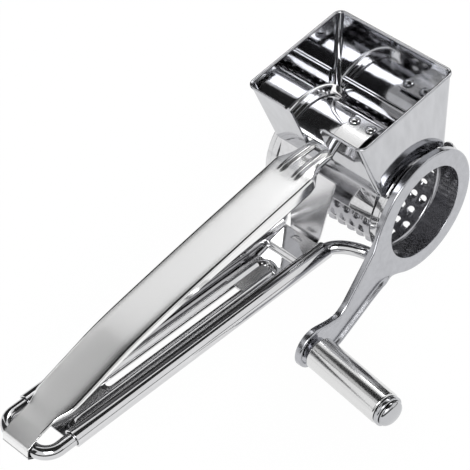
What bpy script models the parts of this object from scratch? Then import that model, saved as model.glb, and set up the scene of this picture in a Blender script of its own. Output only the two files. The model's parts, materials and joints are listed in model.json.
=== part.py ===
"""Hand cranked drum cheese grater in stainless steel, as an assembly of its real pieces.

Metres, +Z up. X runs along the handle towards the hopper, Y along the drum's axis with the
crank at -Y. The hopper stands upright and the wire cradles under the drum are the lowest point.
"""

import math

import bmesh
import bpy
import numpy
from mathutils import Matrix, Vector

MM = 0.001
GAP = 0.3 * MM                    # clearance between pieces that touch

# Drum and the collars that it turns in
AXIS_X = 0.9 * MM                 # drum axis, from the middle of the hopper
AXIS_DEPTH = 57.5 * MM            # drum axis below the hopper's rim
DRUM_RADIUS = 22.0 * MM           # outside of the grating sheet
DRUM_SHEET = 0.6 * MM
DRUM_BAND_STEP = 1.3 * MM         # the plain end bands are swaged out past the teeth
DRUM_HALF_GRATING = 24.4 * MM     # half length of the perforated stretch
SWAGE_LENGTH = 1.2 * MM
MOUTH_BAND_END = 35.0 * MM        # how far the plain mouth band reaches towards the crank
FAR_BAND_END = 32.0 * MM
TOOTH_COLUMNS = 20
TOOTH_ROWS = 9
TOOTH_HEIGHT = 1.0 * MM
HOLE_RADIUS = 1.55 * MM
FACETS_PER_COLUMN = 2
FAR_LIP_RADIUS = 19.5 * MM        # opening left by the turned-in lip at the far end
LIP_BEND = 0.9 * MM
COLLAR_SHEET = 0.8 * MM
COLLAR_INNER_Y = 26.9 * MM
COLLAR_OUTER_Y = 32.3 * MM
COLLAR_FLANGE = 2.9 * MM

# Hopper
HOPPER_X = 57.0 * MM              # outside length at the rim
HOPPER_Y = 61.8 * MM              # outside width
MOUTH_ABOVE_AXIS = 17.0 * MM      # lower end of the walls above the drum's axis
HOPPER_DEPTH = AXIS_DEPTH - MOUTH_ABOVE_AXIS
HOPPER_SHEET = 0.9 * MM
HANDLE_WALL_SLOPE = 0.281         # the wall on the handle's side leans in
FAR_WALL_SLOPE = 0.148
CORNER_RADIUS = 3.5 * MM
RIM_HEIGHT = 1.3 * MM
RIM_PROUD = 0.5 * MM
NOTCH_HALF_WIDTH = 7.5 * MM
NOTCH_FOOT_ABOVE_AXIS = 30.0 * MM
NOTCH_DEPTH = AXIS_DEPTH - NOTCH_FOOT_ABOVE_AXIS
NOTCH_FLARE = 3.0 * MM
NOTCH_CORNER = 1.0 * MM
ARCH_RADIUS = 27.6 * MM           # the end walls are cut to this arc about the drum's axis
APRON_SHEET = 0.8 * MM
APRON_CLEARANCE = 0.5 * MM        # between the drum's teeth and the aprons
APRON_HALF_WIDTH = 26.3 * MM
APRON_LOW_ANGLE = 161.0           # degrees about the drum's axis, on the handle's side
APRON_HIGH_ANGLE = 146.0
APRON_LAP_START = 3.2 * MM        # an apron lies against its wall between these two
APRON_LAP_END = 7.5 * MM          # heights above the wall's lower end

# Wire frame
WIRE_RADIUS = 3.0 * MM
LEG_HALF_SPACING = 13.0 * MM
LEG_SLOPE = 0.14                  # fall of the legs per unit length towards the hopper
LEG_BELOW_AXIS = 4.1 * MM         # legs below the drum's axis where x is LEG_DATUM_X
LEG_DROP = AXIS_DEPTH + LEG_BELOW_AXIS
LEG_DATUM_X = -57.0 * MM
TIP_X = -192.5 * MM               # centre of the wire's bend, the lever's hinge
TIP_BEND = 7.0 * MM
LEG_END_X = -38.0 * MM
CRADLE_Y = 29.5 * MM
CRADLE_START = 205.0              # degrees about the drum's axis
CRADLE_END = 392.0                # the wire ends below the leaning wall's lower edge

# Handle plate, curled round the legs
PLATE_SHEET = 0.7 * MM
PLATE_START_X = -178.8 * MM
PLATE_END_X = -38.5 * MM
PLATE_FOLD_X = -49.0 * MM
PLATE_RISE = 2.2 * MM
RIB_HEIGHT = 1.3 * MM
RIB_HALF_WIDTH = 1.3 * MM
RIB_TIP_Y = 3.4 * MM
RIB_HEAD_Y = 7.0 * MM
SLOT_HALF_WIDTH = 2.0 * MM
SLOT_END_X = -57.9 * MM
SLOT_LENGTH = 92.0 * MM
D_HOLE_RADIUS = 3.6 * MM

# Neck plate between the handle plate and the hopper
NECK_SHEET = 1.0 * MM
NECK_FOOT = 9.0 * MM
NECK_TOP_X = -25.0 * MM
NECK_TOP_ABOVE_AXIS = 24.0 * MM
NECK_BASE_HALF_WIDTH = 7.7 * MM
NECK_TOP_HALF_WIDTH = 12.2 * MM

# Lever
LEVER_SHEET = 0.9 * MM
LEVER_CROWN = 0.5 * MM
FOLD_CLEARANCE = 0.4 * MM
FOLD_HALF_WIDTH = 7.1 * MM
TONGUE_HALF_WIDTH = 6.9 * MM

# Press plate and its rivets
PRESS_SHEET = 0.9 * MM
PRESS_CLEARANCE = 0.6 * MM        # above the drum's teeth
PRESS_HALF_WIDTH = 26.4 * MM      # clear of the collars' inner edges
PRESS_START = 40.0                # degrees about the drum's axis
PRESS_END = 119.0
PRESS_FACETS = 10
RIVET_X = 5.2 * MM
RIVET_SPACING = 9.0 * MM
RIVET_SHANK = 1.5 * MM
RIVET_HEAD = 2.6 * MM

# Crank
RING_OUTER = 29.3 * MM
RING_OPENING = 21.7 * MM
RING_FRONT_Y = 36.7 * MM
RING_BACK_Y = 33.4 * MM
RING_SHEET = 1.2 * MM
ARM_FLANGE_HEIGHT = 1.4 * MM
ARM_FLANGE_WIDTH = 1.5 * MM
GRIP_X = -72.0 * MM
GRIP_BELOW_AXIS = 18.1 * MM
GRIP_LEAN = 6.1                   # degrees that the grip leans away from the drum's axis
EYE_RADIUS = 9.4 * MM

# Grip and its spindle
SPINDLE_RADIUS = 2.4 * MM
SPINDLE_HEAD = 4.2 * MM
SPINDLE_HEAD_HEIGHT = 1.3 * MM
SPINDLE_END = 0.4 * MM            # how far the spindle goes into the cap
GRIP_RADIUS = 7.3 * MM
SLEEVE_LENGTH = 39.3 * MM
SLEEVE_ROUND = 0.7 * MM           # rounded ends of the sleeve and of the end ring
WASHER_RADIUS = 5.4 * MM
WASHER_LENGTH = 2.7 * MM
END_RING_LENGTH = 2.1 * MM
CAP_RADIUS = 5.9 * MM
CAP_LENGTH = 2.9 * MM
CAP_RECESS = 0.8 * MM

STEEL = (0.80, 0.80, 0.81, 1.0)
SATIN_STEEL = (0.86, 0.86, 0.86, 1.0)
GREY_STEEL = (0.62, 0.62, 0.64, 1.0)


def clear_scene():
    for item in list(bpy.data.objects):
        bpy.data.objects.remove(item, do_unlink=True)


clear_scene()
parts = bpy.data.collections.new("cheese_grater")
cutters = bpy.data.collections.new("cutters")
bpy.context.scene.collection.children.link(parts)
bpy.context.scene.collection.children.link(cutters)


def steel(name, colour, roughness):
    material = bpy.data.materials.new(name)
    material.use_nodes = True
    shader = material.node_tree.nodes["Principled BSDF"]
    shader.inputs["Base Color"].default_value = colour
    shader.inputs["Metallic"].default_value = 1.0
    shader.inputs["Roughness"].default_value = roughness
    return material


def leg_height(x):
    """Height of the legs' centre line above an x position."""
    return -LEG_DROP - LEG_SLOPE * (x - LEG_DATUM_X)


def place(name, mesh, material=None, collection=parts):
    item = bpy.data.objects.new(name, mesh)
    collection.objects.link(item)
    if material:
        mesh.materials.append(material)
    return item


def cutter(name, mesh):
    item = place(name, mesh, collection=cutters)
    item.hide_render = True
    item.display_type = 'WIRE'
    return item


def mesh_of(name, points, faces):
    mesh = bpy.data.meshes.new(name)
    mesh.from_pydata([tuple(point) for point in points], [], faces)
    mesh.update()
    return mesh


def tidy(mesh):
    """Weld a mesh and point its faces outwards."""
    work = bmesh.new()
    work.from_mesh(mesh)
    bmesh.ops.remove_doubles(work, verts=work.verts, dist=0.00001)
    bmesh.ops.recalc_face_normals(work, faces=work.faces)
    work.to_mesh(mesh)
    work.free()


def smooth(item, angle=35.0):
    item.data.shade_smooth()
    item.data.set_sharp_from_angle(angle=math.radians(angle))


def cut(item, tool, operation='DIFFERENCE'):
    modifier = item.modifiers.new("cut_" + tool.name, 'BOOLEAN')
    modifier.operation = operation
    modifier.solver = 'EXACT'
    modifier.object = tool


def sheet(item, thickness, offset=-1.0, even=True):
    modifier = item.modifiers.new("sheet", 'SOLIDIFY')
    modifier.thickness = thickness
    modifier.offset = offset
    modifier.use_even_offset = even


def loft(name, sections, closed=False):
    """Surface through sections that all have the same number of points."""
    count = len(sections[0])
    points = [point for section in sections for point in section]
    across = count if closed else count - 1
    faces = []
    for row in range(len(sections) - 1):
        for column in range(across):
            following = (column + 1) % count
            a = row * count
            faces.append((a + column, a + following, a + count + following, a + count + column))
    return mesh_of(name, points, faces)


def turned(name, profile, segments, material):
    """Closed profile of (radius, distance towards the crank) turned about the drum's axis."""
    mesh = bpy.data.meshes.new(name)
    points = [(radius, 0.0, along) for radius, along in profile]
    edges = [(i, (i + 1) % len(points)) for i in range(len(points))]
    if profile[0][0] == 0.0:
        edges.pop()
    mesh.from_pydata(points, edges, [])
    item = place(name, mesh, material)
    item.location = (AXIS_X, 0.0, -AXIS_DEPTH)
    item.rotation_euler = (math.radians(90.0), 0.0, 0.0)
    screw = item.modifiers.new("turn", 'SCREW')
    screw.axis = 'Z'
    screw.steps = segments
    screw.render_steps = segments
    screw.use_merge_vertices = True
    screw.merge_threshold = 0.00001
    return item


def plate(name, outline, low, high, along='Z'):
    """Flat outline as a solid between two heights, through a filled 2D curve."""
    curve = bpy.data.curves.new(name, 'CURVE')
    curve.dimensions = '2D'
    curve.fill_mode = 'BOTH'
    curve.extrude = (high - low) / 2.0
    spline = curve.splines.new('POLY')
    spline.points.add(len(outline) - 1)
    for point, (u, v) in zip(spline.points, outline):
        point.co = (u, v, 0.0, 1.0)
    spline.use_cyclic_u = True
    holder = bpy.data.objects.new(name + "_curve", curve)
    bpy.context.scene.collection.objects.link(holder)
    bpy.context.view_layer.update()
    mesh = bpy.data.meshes.new_from_object(holder.evaluated_get(bpy.context.evaluated_depsgraph_get()))
    bpy.data.objects.remove(holder, do_unlink=True)
    middle = (low + high) / 2.0
    if along == 'Z':
        turn = Matrix.Translation((0.0, 0.0, middle))
    else:
        turn = Matrix(((1, 0, 0, 0), (0, 0, 1, middle), (0, 1, 0, 0), (0, 0, 0, 1)))
    mesh.transform(turn)
    tidy(mesh)
    mesh.name = name
    return mesh


def arc(centre_u, centre_v, radius, start, end, steps):
    """Points of an arc in a plane; angles in degrees."""
    angles = numpy.radians(numpy.linspace(start, end, steps + 1))
    return [(centre_u + radius * math.cos(a), centre_v + radius * math.sin(a)) for a in angles]


def circle(centre_u, centre_v, radius, sides):
    return arc(centre_u, centre_v, radius, 0.0, 360.0 - 360.0 / sides, sides - 1)


def about_drum(radius, start, end, steps):
    return arc(AXIS_X, -AXIS_DEPTH, radius, start, end, steps)


def drum_circle(radius):
    return circle(AXIS_X, -AXIS_DEPTH, radius, 48)


mirror_steel = steel("mirror_steel", STEEL, 0.08)
satin_steel = steel("satin_steel", SATIN_STEEL, 0.28)
grey_steel = steel("grey_steel", GREY_STEEL, 0.18)

TOOTH_TOP = DRUM_RADIUS + TOOTH_HEIGHT
BAND_RADIUS = DRUM_RADIUS + DRUM_BAND_STEP
COLLAR_INNER = BAND_RADIUS + GAP
COLLAR_OUTER = COLLAR_INNER + COLLAR_SHEET
CRADLE_RADIUS = COLLAR_OUTER + GAP + WIRE_RADIUS
GRIP_Z = -AXIS_DEPTH - GRIP_BELOW_AXIS


# Hopper: four walls lofted between a wide rim and a narrower mouth
def hopper_section(depth, proud=0.0):
    low_x = -HOPPER_X / 2.0 + HANDLE_WALL_SLOPE * depth - proud
    high_x = HOPPER_X / 2.0 - FAR_WALL_SLOPE * depth + proud
    half_y = HOPPER_Y / 2.0 + proud
    r = CORNER_RADIUS
    points = arc(high_x - r, half_y - r, r, 0.0, 90.0, 3)
    points += arc(low_x + r, half_y - r, r, 90.0, 180.0, 3)
    points += arc(low_x + r, -half_y + r, r, 180.0, 270.0, 3)
    points += arc(high_x - r, -half_y + r, r, 270.0, 360.0, 3)
    return [(u, v, -depth) for u, v in points]


def make_hopper():
    sections = [
        hopper_section(0.0, RIM_PROUD * 0.4),
        hopper_section(RIM_HEIGHT * 0.5, RIM_PROUD),
        hopper_section(RIM_HEIGHT),
        hopper_section(HOPPER_DEPTH),
    ]
    item = place("hopper", loft("hopper", sections, closed=True), mirror_steel)
    tidy(item.data)
    sheet(item, HOPPER_SHEET)
    arch = plate("arch_cut", drum_circle(ARCH_RADIUS), -HOPPER_Y, HOPPER_Y, 'Y')
    cut(item, cutter("arch_cut", arch))
    w = NOTCH_HALF_WIDTH
    f = NOTCH_FLARE
    c = NOTCH_CORNER
    outline = [(-w, -NOTCH_DEPTH + c), (-w + c, -NOTCH_DEPTH), (w - c, -NOTCH_DEPTH)]
    outline += [(w, -NOTCH_DEPTH + c), (w, -f), (w + f * 0.3, -f * 0.3), (w + f, 0.0), (w + f, 2.0 * MM)]
    outline += [(-w - f, 2.0 * MM), (-w - f, 0.0), (-w - f * 0.3, -f * 0.3), (-w, -f)]
    mesh = plate("notch_cut", outline, -HOPPER_X, -HOPPER_X * 0.1)
    mesh.transform(Matrix(((0, 0, 1, 0), (1, 0, 0, 0), (0, 1, 0, 0), (0, 0, 0, 1))))
    cut(item, cutter("notch_cut", mesh))
    smooth(item)
    return item


def make_apron(name, side):
    """Curved sheet that closes the gap between a leaning wall and the drum."""
    radius = TOOTH_TOP + APRON_CLEARANCE
    if side < 0:
        profile = about_drum(radius, APRON_LOW_ANGLE, APRON_HIGH_ANGLE, 4)
        slope = HANDLE_WALL_SLOPE
    else:
        profile = about_drum(radius, 180.0 - APRON_LOW_ANGLE, 180.0 - APRON_HIGH_ANGLE, 4)
        slope = FAR_WALL_SLOPE
    inset = HOPPER_SHEET * 1.05 + GAP + APRON_SHEET
    for depth in (HOPPER_DEPTH - APRON_LAP_START, HOPPER_DEPTH - APRON_LAP_END):
        x = side * (HOPPER_X / 2.0 - slope * depth - inset)
        profile.append((x, -depth))
    w = APRON_HALF_WIDTH
    sections = [[(u, -w, v) for u, v in profile], [(u, w, v) for u, v in profile]]
    item = place(name, loft(name, sections), mirror_steel)
    sheet(item, APRON_SHEET, -side)
    smooth(item)
    return item


def make_collar(name, side):
    inner = COLLAR_INNER
    outer = COLLAR_OUTER
    flange_out = HOPPER_Y / 2.0 - HOPPER_SHEET - GAP
    flange_in = flange_out - COLLAR_SHEET
    profile = [
        (inner, COLLAR_OUTER_Y), (outer, COLLAR_OUTER_Y), (outer, flange_out),
        (outer + COLLAR_FLANGE, flange_out), (outer + COLLAR_FLANGE, flange_in),
        (outer, flange_in), (outer, COLLAR_INNER_Y), (inner, COLLAR_INNER_Y),
    ]
    item = turned(name, profile, 32, mirror_steel)
    if side > 0:
        item.rotation_euler = (math.radians(-90.0), 0.0, 0.0)
    reach = outer + COLLAR_FLANGE + 2.0 * MM
    outline = about_drum(outer + 0.02 * MM, 50.0, -232.0, 47)
    outline += about_drum(reach, -232.0, 50.0, 24)
    y = sorted((side * (COLLAR_INNER_Y + 0.5 * MM), side * (flange_out + 0.1 * MM)))
    mesh = plate(name + "_trim", outline, y[0], y[1], 'Y')
    cut(item, cutter(name + "_trim", mesh))
    smooth(item)
    return item


def hermite(start, start_way, end, end_way, steps):
    """Smooth curve between two points with given directions."""
    result = []
    for t in numpy.linspace(0.0, 1.0, steps + 1).tolist():
        a = 2 * t ** 3 - 3 * t ** 2 + 1
        b = t ** 3 - 2 * t ** 2 + t
        c = -2 * t ** 3 + 3 * t ** 2
        d = t ** 3 - t ** 2
        result.append(a * start + b * start_way + c * end + d * end_way)
    return result


def wire_route():
    """Half of the wire, from the hopper end of a cradle to the middle of the tip."""
    cradle = [Vector((u, CRADLE_Y, v)) for u, v in about_drum(CRADLE_RADIUS, CRADLE_END, CRADLE_START, 15)]
    angle = math.radians(CRADLE_START)
    leaving = Vector((math.sin(angle), 0.0, -math.cos(angle)))
    leg = Vector((LEG_END_X, LEG_HALF_SPACING, leg_height(LEG_END_X)))
    back = Vector((-1.0, 0.0, LEG_SLOPE)).normalized()
    bend = hermite(cradle[-1], leaving * 24.0 * MM, leg, back * 26.0 * MM, 9)
    route = cradle + bend[1:]
    for u, v in arc(TIP_X + TIP_BEND, LEG_HALF_SPACING - TIP_BEND, TIP_BEND, 90.0, 180.0, 5):
        route.append(Vector((u, v, leg_height(u))))
    return route


def make_wire_frame():
    half = wire_route()
    route = half + [Vector((p.x, -p.y, p.z)) for p in reversed(half)]
    curve = bpy.data.curves.new("wire_frame", 'CURVE')
    curve.dimensions = '3D'
    curve.bevel_depth = WIRE_RADIUS
    curve.bevel_resolution = 2
    curve.use_fill_caps = True
    spline = curve.splines.new('POLY')
    spline.points.add(len(route) - 1)
    for point, place_at in zip(spline.points, route):
        point.co = (*place_at, 1.0)
    item = bpy.data.objects.new("wire_frame", curve)
    parts.objects.link(item)
    curve.materials.append(mirror_steel)
    return item


def make_handle_plate():
    """Pressed plate whose edges are rolled round the two legs."""
    curl = WIRE_RADIUS + GAP
    rolled = arc(LEG_HALF_SPACING, 0.0, curl, 200.0, -90.0, 12)
    stations = (PLATE_START_X, -120.0 * MM, PLATE_FOLD_X - 6.0 * MM, PLATE_FOLD_X, PLATE_END_X)
    sections = []
    for x in stations:
        share = (x - PLATE_START_X) / (PLATE_END_X - PLATE_START_X)
        rib = RIB_TIP_Y + (RIB_HEAD_Y - RIB_TIP_Y) * share
        rise = PLATE_RISE if x > PLATE_FOLD_X else 0.0
        rib_top = rise if x > PLATE_FOLD_X - 1.0 * MM else RIB_HEIGHT
        w = RIB_HALF_WIDTH
        half = rolled + [(LEG_HALF_SPACING - curl * 0.9, -curl)]
        half += [(rib + w, rise - curl), (rib + w * 0.4, rib_top - curl)]
        half += [(rib - w * 0.4, rib_top - curl), (rib - w, rise - curl)]
        whole = half + [(-u, v) for u, v in reversed(half)]
        sections.append([(x, u, leg_height(x) + v) for u, v in whole])
    item = place("handle_plate", loft("handle_plate", sections), mirror_steel)
    sheet(item, PLATE_SHEET, -1.0)
    r = SLOT_HALF_WIDTH
    outline = arc(SLOT_END_X - r, 0.0, r, -90.0, 90.0, 6)
    outline += arc(SLOT_END_X - SLOT_LENGTH + r, 0.0, r, 90.0, 270.0, 6)
    cut(item, cutter("slot_cut", plate("slot_cut", outline, -80.0 * MM, -40.0 * MM)))
    outline = arc(PLATE_END_X - 5.2 * MM, 0.0, D_HOLE_RADIUS, -90.0, 90.0, 6)
    cut(item, cutter("d_hole_cut", plate("d_hole_cut", outline, -80.0 * MM, -40.0 * MM)))
    smooth(item)
    return item


def make_neck_plate():
    under = WIRE_RADIUS + GAP + PLATE_SHEET + GAP
    foot_x = PLATE_END_X - NECK_FOOT
    bend_x = PLATE_END_X + 1.0 * MM
    base_z = leg_height(bend_x) - under
    route = [(foot_x, leg_height(foot_x) - under, NECK_BASE_HALF_WIDTH - 1.0 * MM)]
    route += [(bend_x, base_z, NECK_BASE_HALF_WIDTH)]
    route += [(bend_x + 2.6 * MM, base_z + 1.2 * MM, NECK_BASE_HALF_WIDTH)]
    top = (NECK_TOP_X, NECK_TOP_ABOVE_AXIS - AXIS_DEPTH)
    for share in (0.25, 0.5, 0.75, 1.0):
        x = route[2][0] + (top[0] - route[2][0]) * share
        z = route[2][1] + (top[1] - route[2][1]) * share
        width = NECK_BASE_HALF_WIDTH + (NECK_TOP_HALF_WIDTH - NECK_BASE_HALF_WIDTH) * share
        route.append((x, z, width))
    sections = [[(x, w * k, z) for k in (-1.0, -0.5, 0.0, 0.5, 1.0)] for x, z, w in route]
    item = place("neck_plate", loft("neck_plate", sections), mirror_steel)
    sheet(item, NECK_SHEET, 1.0)
    smooth(item)
    return item


def lever_stations():
    """Top line of the lever as (x, z, half width, skirt depth, tilt of the top in degrees)."""
    fold = WIRE_RADIUS + FOLD_CLEARANCE + LEVER_SHEET
    stations = []
    tip_z = leg_height(TIP_X)
    for angle in (300.0, 270.0, 240.0, 210.0, 180.0, 150.0, 120.0, 97.0):
        a = math.radians(angle)
        u = TIP_X + fold * math.cos(a)
        v = tip_z + fold * math.sin(a)
        stations.append((u, v, FOLD_HALF_WIDTH, 0.0, angle - 90.0))
    top = (
        (-187.5, 20.6, 7.1, 1.2), (-181.6, 21.4, 7.3, 1.6), (-175.8, 22.6, 8.9, 1.6),
        (-169.7, 23.4, 10.0, 1.4), (-160.0, 25.5, 10.2, 2.0), (-140.0, 29.3, 10.3, 4.0),
        (-115.0, 31.3, 10.5, 4.8), (-85.0, 32.8, 10.8, 5.0), (-58.0, 33.9, 11.0, 5.5),
        (-40.0, 34.6, 11.1, 5.6), (-36.5, 34.8, 11.0, 4.6), (-34.5, 34.8, 9.8, 3.6),
        (-32.0, 34.7, 8.4, 2.6), (-28.0, 34.3, 7.3, 2.0), (-22.0, 33.6, 6.9, 1.6),
        (-18.5, 32.5, 6.9, 1.0),
    )
    for x, above_axis, width, skirt in top:
        stations.append((x * MM, above_axis * MM - AXIS_DEPTH, width * MM, skirt * MM, 0.0))
    return stations


def lever_section(x, z, half_width, skirt, tilt):
    """Channel across the lever: a crowned top with a rounded bend into each skirt."""
    bend = min(1.2 * MM, max(skirt, 0.2 * MM))
    crown = LEVER_CROWN if skirt > 0.0 else 0.0
    drop = max(skirt, bend)
    upper = bend if skirt > bend else drop * 0.6
    half = [(half_width, -drop), (half_width, -upper)]
    half += [(half_width - bend * 0.3, -bend * 0.3), (half_width - bend, 0.0)]
    half += [(half_width * 0.5, crown * 0.8)]
    whole = half + [(0.0, crown)] + [(-u, v) for u, v in reversed(half)]
    a = math.radians(tilt)
    return [(x - math.sin(a) * v, u, z + math.cos(a) * v) for u, v in whole]


def make_lever():
    sections = [lever_section(*station) for station in lever_stations()]
    radius = TOOTH_TOP + PRESS_CLEARANCE + PRESS_SHEET + GAP + LEVER_SHEET
    w = TONGUE_HALF_WIDTH
    step = (PRESS_END - PRESS_START) / PRESS_FACETS
    tongue = [(PRESS_END + 1.0, 3.0 * MM), (PRESS_END - step * 0.5, 1.2 * MM)]
    tongue += [(PRESS_END - step * k, 0.0) for k in (1.5, 2.0, 3.0, 4.0, 5.0, 6.0)]
    for angle, lift in tongue:
        (x, z), = about_drum(radius + lift, angle, angle, 0)
        sections.append(lever_section(x, z, w, 0.0, angle - 90.0))
    item = place("lever", loft("lever", sections), satin_steel)
    sheet(item, LEVER_SHEET, -1.0)
    smooth(item)
    return item


def make_press_plate():
    radius = TOOTH_TOP + PRESS_CLEARANCE
    profile = about_drum(radius, PRESS_START, PRESS_END, PRESS_FACETS)
    w = PRESS_HALF_WIDTH
    widths = [w - 1.5 * MM] + [w] * (PRESS_FACETS - 1) + [w - 1.5 * MM]
    sections = [[(u, -k, v), (u, k, v)] for (u, v), k in zip(profile, widths)]
    item = place("press_plate", loft("press_plate", sections), mirror_steel)
    sheet(item, PRESS_SHEET, 1.0)
    smooth(item)
    return item


def make_rivet(name, side):
    """Dome headed rivet through the lever's tongue and the press plate."""
    base = TOOTH_TOP + PRESS_CLEARANCE
    top = base + PRESS_SHEET + GAP + LEVER_SHEET
    profile = [(0.0, base + PRESS_SHEET * 0.2), (RIVET_SHANK, base + PRESS_SHEET * 0.2)]
    profile += [(RIVET_SHANK, top + GAP)]
    profile = profile[::-1]
    head = [(0.0, top + GAP + 1.2 * MM), (RIVET_HEAD * 0.7, top + GAP + 0.8 * MM), (RIVET_HEAD, top + GAP)]
    item = turned(name, head + profile, 16, mirror_steel)
    tilt = math.asin((RIVET_X - AXIS_X) / top)
    item.rotation_euler = (0.0, tilt, 0.0)
    item.location = (AXIS_X, side * RIVET_SPACING / 2.0, -AXIS_DEPTH)
    smooth(item)
    return item


def rivet_holes(item, name):
    for side in (-1.0, 1.0):
        mesh = bpy.data.meshes.new(name)
        work = bmesh.new()
        radius = RIVET_SHANK + GAP
        bmesh.ops.create_cone(
            work, cap_ends=True, segments=16, radius1=radius, radius2=radius, depth=12.0 * MM,
        )
        tilt = math.asin((RIVET_X - AXIS_X) / (TOOTH_TOP + 2.0 * MM))
        turn = Matrix.Rotation(tilt, 4, 'Y') @ Matrix.Translation((0.0, 0.0, TOOTH_TOP + 1.0 * MM))
        where = Matrix.Translation((AXIS_X, side * RIVET_SPACING / 2.0, -AXIS_DEPTH))
        bmesh.ops.transform(work, matrix=where @ turn, verts=work.verts)
        work.to_mesh(mesh)
        work.free()
        cut(item, cutter(name + ("_a" if side < 0 else "_b"), mesh))


def make_drum():
    """Perforated sheet rolled into a drum: one strip with punched teeth for each column."""
    pitch = 2.0 * DRUM_HALF_GRATING / TOOTH_ROWS
    width = 2.0 * math.pi / TOOTH_COLUMNS
    work = bmesh.new()
    for column in range(TOOTH_COLUMNS):
        stagger = (column % 2 - 0.5) * pitch * 0.5
        centres = [(row + 0.5) * pitch - DRUM_HALF_GRATING + stagger * 0.9 for row in range(TOOTH_ROWS)]
        add_strip(work, column * width, width, centres)
    for low, high in drum_bands():
        add_band(work, low, high)
    bmesh.ops.remove_doubles(work, verts=work.verts, dist=0.00002)
    bmesh.ops.recalc_face_normals(work, faces=work.faces)
    mesh = bpy.data.meshes.new("grating_drum")
    work.to_mesh(mesh)
    work.free()
    item = place("grating_drum", mesh, mirror_steel)
    item.location = (AXIS_X, 0.0, -AXIS_DEPTH)
    item.rotation_euler = (math.radians(90.0), 0.0, 0.0)
    sheet(item, DRUM_SHEET, -1.0, even=False)
    smooth(item, 40.0)
    return item


def drum_bands():
    """Pairs of (radius, distance towards the crank) that the plain bands run between."""
    r = DRUM_RADIUS
    b = BAND_RADIUS
    h = DRUM_HALF_GRATING
    mouth = [(r, h), (b, h + SWAGE_LENGTH), (b, MOUTH_BAND_END)]
    far = [(r, -h), (b, -h - SWAGE_LENGTH), (b, -FAR_BAND_END), (b - LIP_BEND, -FAR_BAND_END - LIP_BEND)]
    far += [(FAR_LIP_RADIUS, -FAR_BAND_END - LIP_BEND)]
    return list(zip(mouth, mouth[1:])) + list(zip(far, far[1:]))


def on_drum(radius, angle, along):
    return (radius * math.cos(angle), radius * math.sin(angle), along)


def add_band(work, low, high):
    count = TOOTH_COLUMNS * FACETS_PER_COLUMN
    step = 2.0 * math.pi / count
    for k in range(count):
        corners = [(low, k), (low, k + 1), (high, k + 1), (high, k)]
        verts = [work.verts.new(on_drum(r, j * step, along)) for (r, along), j in corners]
        work.faces.new(verts)


def add_strip(work, start, width, centres):
    """One column: a filled 2D outline with a hole per tooth, then the teeth, rolled to the drum."""
    half = width * DRUM_RADIUS / 2.0
    r = HOLE_RADIUS
    lip = 1.25 * r
    curve = bpy.data.curves.new("strip", 'CURVE')
    curve.dimensions = '2D'
    curve.fill_mode = 'FRONT'
    h = DRUM_HALF_GRATING
    ends = [half * (2.0 * k / FACETS_PER_COLUMN - 1.0) for k in range(FACETS_PER_COLUMN + 1)]
    outline = [(u, -h) for u in ends] + [(u, h) for u in reversed(ends)]
    round_side = arc(0.0, 0.0, r, -90.0, 90.0, 3)
    base = [(-lip, 0.55 * r), (-lip, -0.55 * r)]
    holes = [[(u, v + centre) for u, v in round_side + base] for centre in centres]
    for points in [outline] + holes:
        spline = curve.splines.new('POLY')
        spline.points.add(len(points) - 1)
        for point, (u, v) in zip(spline.points, points):
            point.co = (u, v, 0.0, 1.0)
        spline.use_cyclic_u = True
    holder = bpy.data.objects.new("strip", curve)
    bpy.context.scene.collection.objects.link(holder)
    bpy.context.view_layer.update()
    flat = bpy.data.meshes.new_from_object(holder.evaluated_get(bpy.context.evaluated_depsgraph_get()))
    bpy.data.objects.remove(holder, do_unlink=True)

    def rolled(u, v, height=0.0):
        return on_drum(DRUM_RADIUS + height, start + (u + half) / DRUM_RADIUS, v)

    verts = [work.verts.new(rolled(v.co.x, v.co.y)) for v in flat.vertices]
    for face in flat.polygons:
        work.faces.new([verts[i] for i in face.vertices])
    for centre in centres:
        ring = [(0.0, centre - r), (-lip, centre - 0.55 * r), (-lip, centre + 0.55 * r), (0.0, centre + r)]
        point = work.verts.new(rolled(0.35 * r, centre, TOOTH_HEIGHT))
        corners = [work.verts.new(rolled(u, v)) for u, v in ring]
        for a, b in zip(corners, corners[1:]):
            work.faces.new((a, b, point))


def arm_outline(inset=0.0):
    """Crank arm seen from the crank's side, from the ring to the eye; measured from the drum's axis."""
    upper = [(-7.0, 24.0), (-17.5, 20.3), (-28.1, 12.1), (-38.2, 2.8), (-46.2, -4.8), (-53.8, -11.3)]
    upper += [(-58.0, -12.6), (-62.0, -13.4)]
    lower = [(-69.0, -29.6), (-63.0, -30.6), (-58.1, -29.8), (-47.5, -25.8), (-37.1, -21.7), (-29.9, -19.4)]
    lower += [(-23.5, -20.1), (-19.5, -21.3), (-9.2, -26.5)]
    points = [(AXIS_X + u * MM, v * MM - AXIS_DEPTH - inset * 0.8) for u, v in upper]
    points += arc(GRIP_X, GRIP_Z, EYE_RADIUS - inset, 62.0, 278.0, 12)
    points += [(AXIS_X + u * MM, v * MM - AXIS_DEPTH + inset * 0.8) for u, v in lower]
    return points


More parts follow.
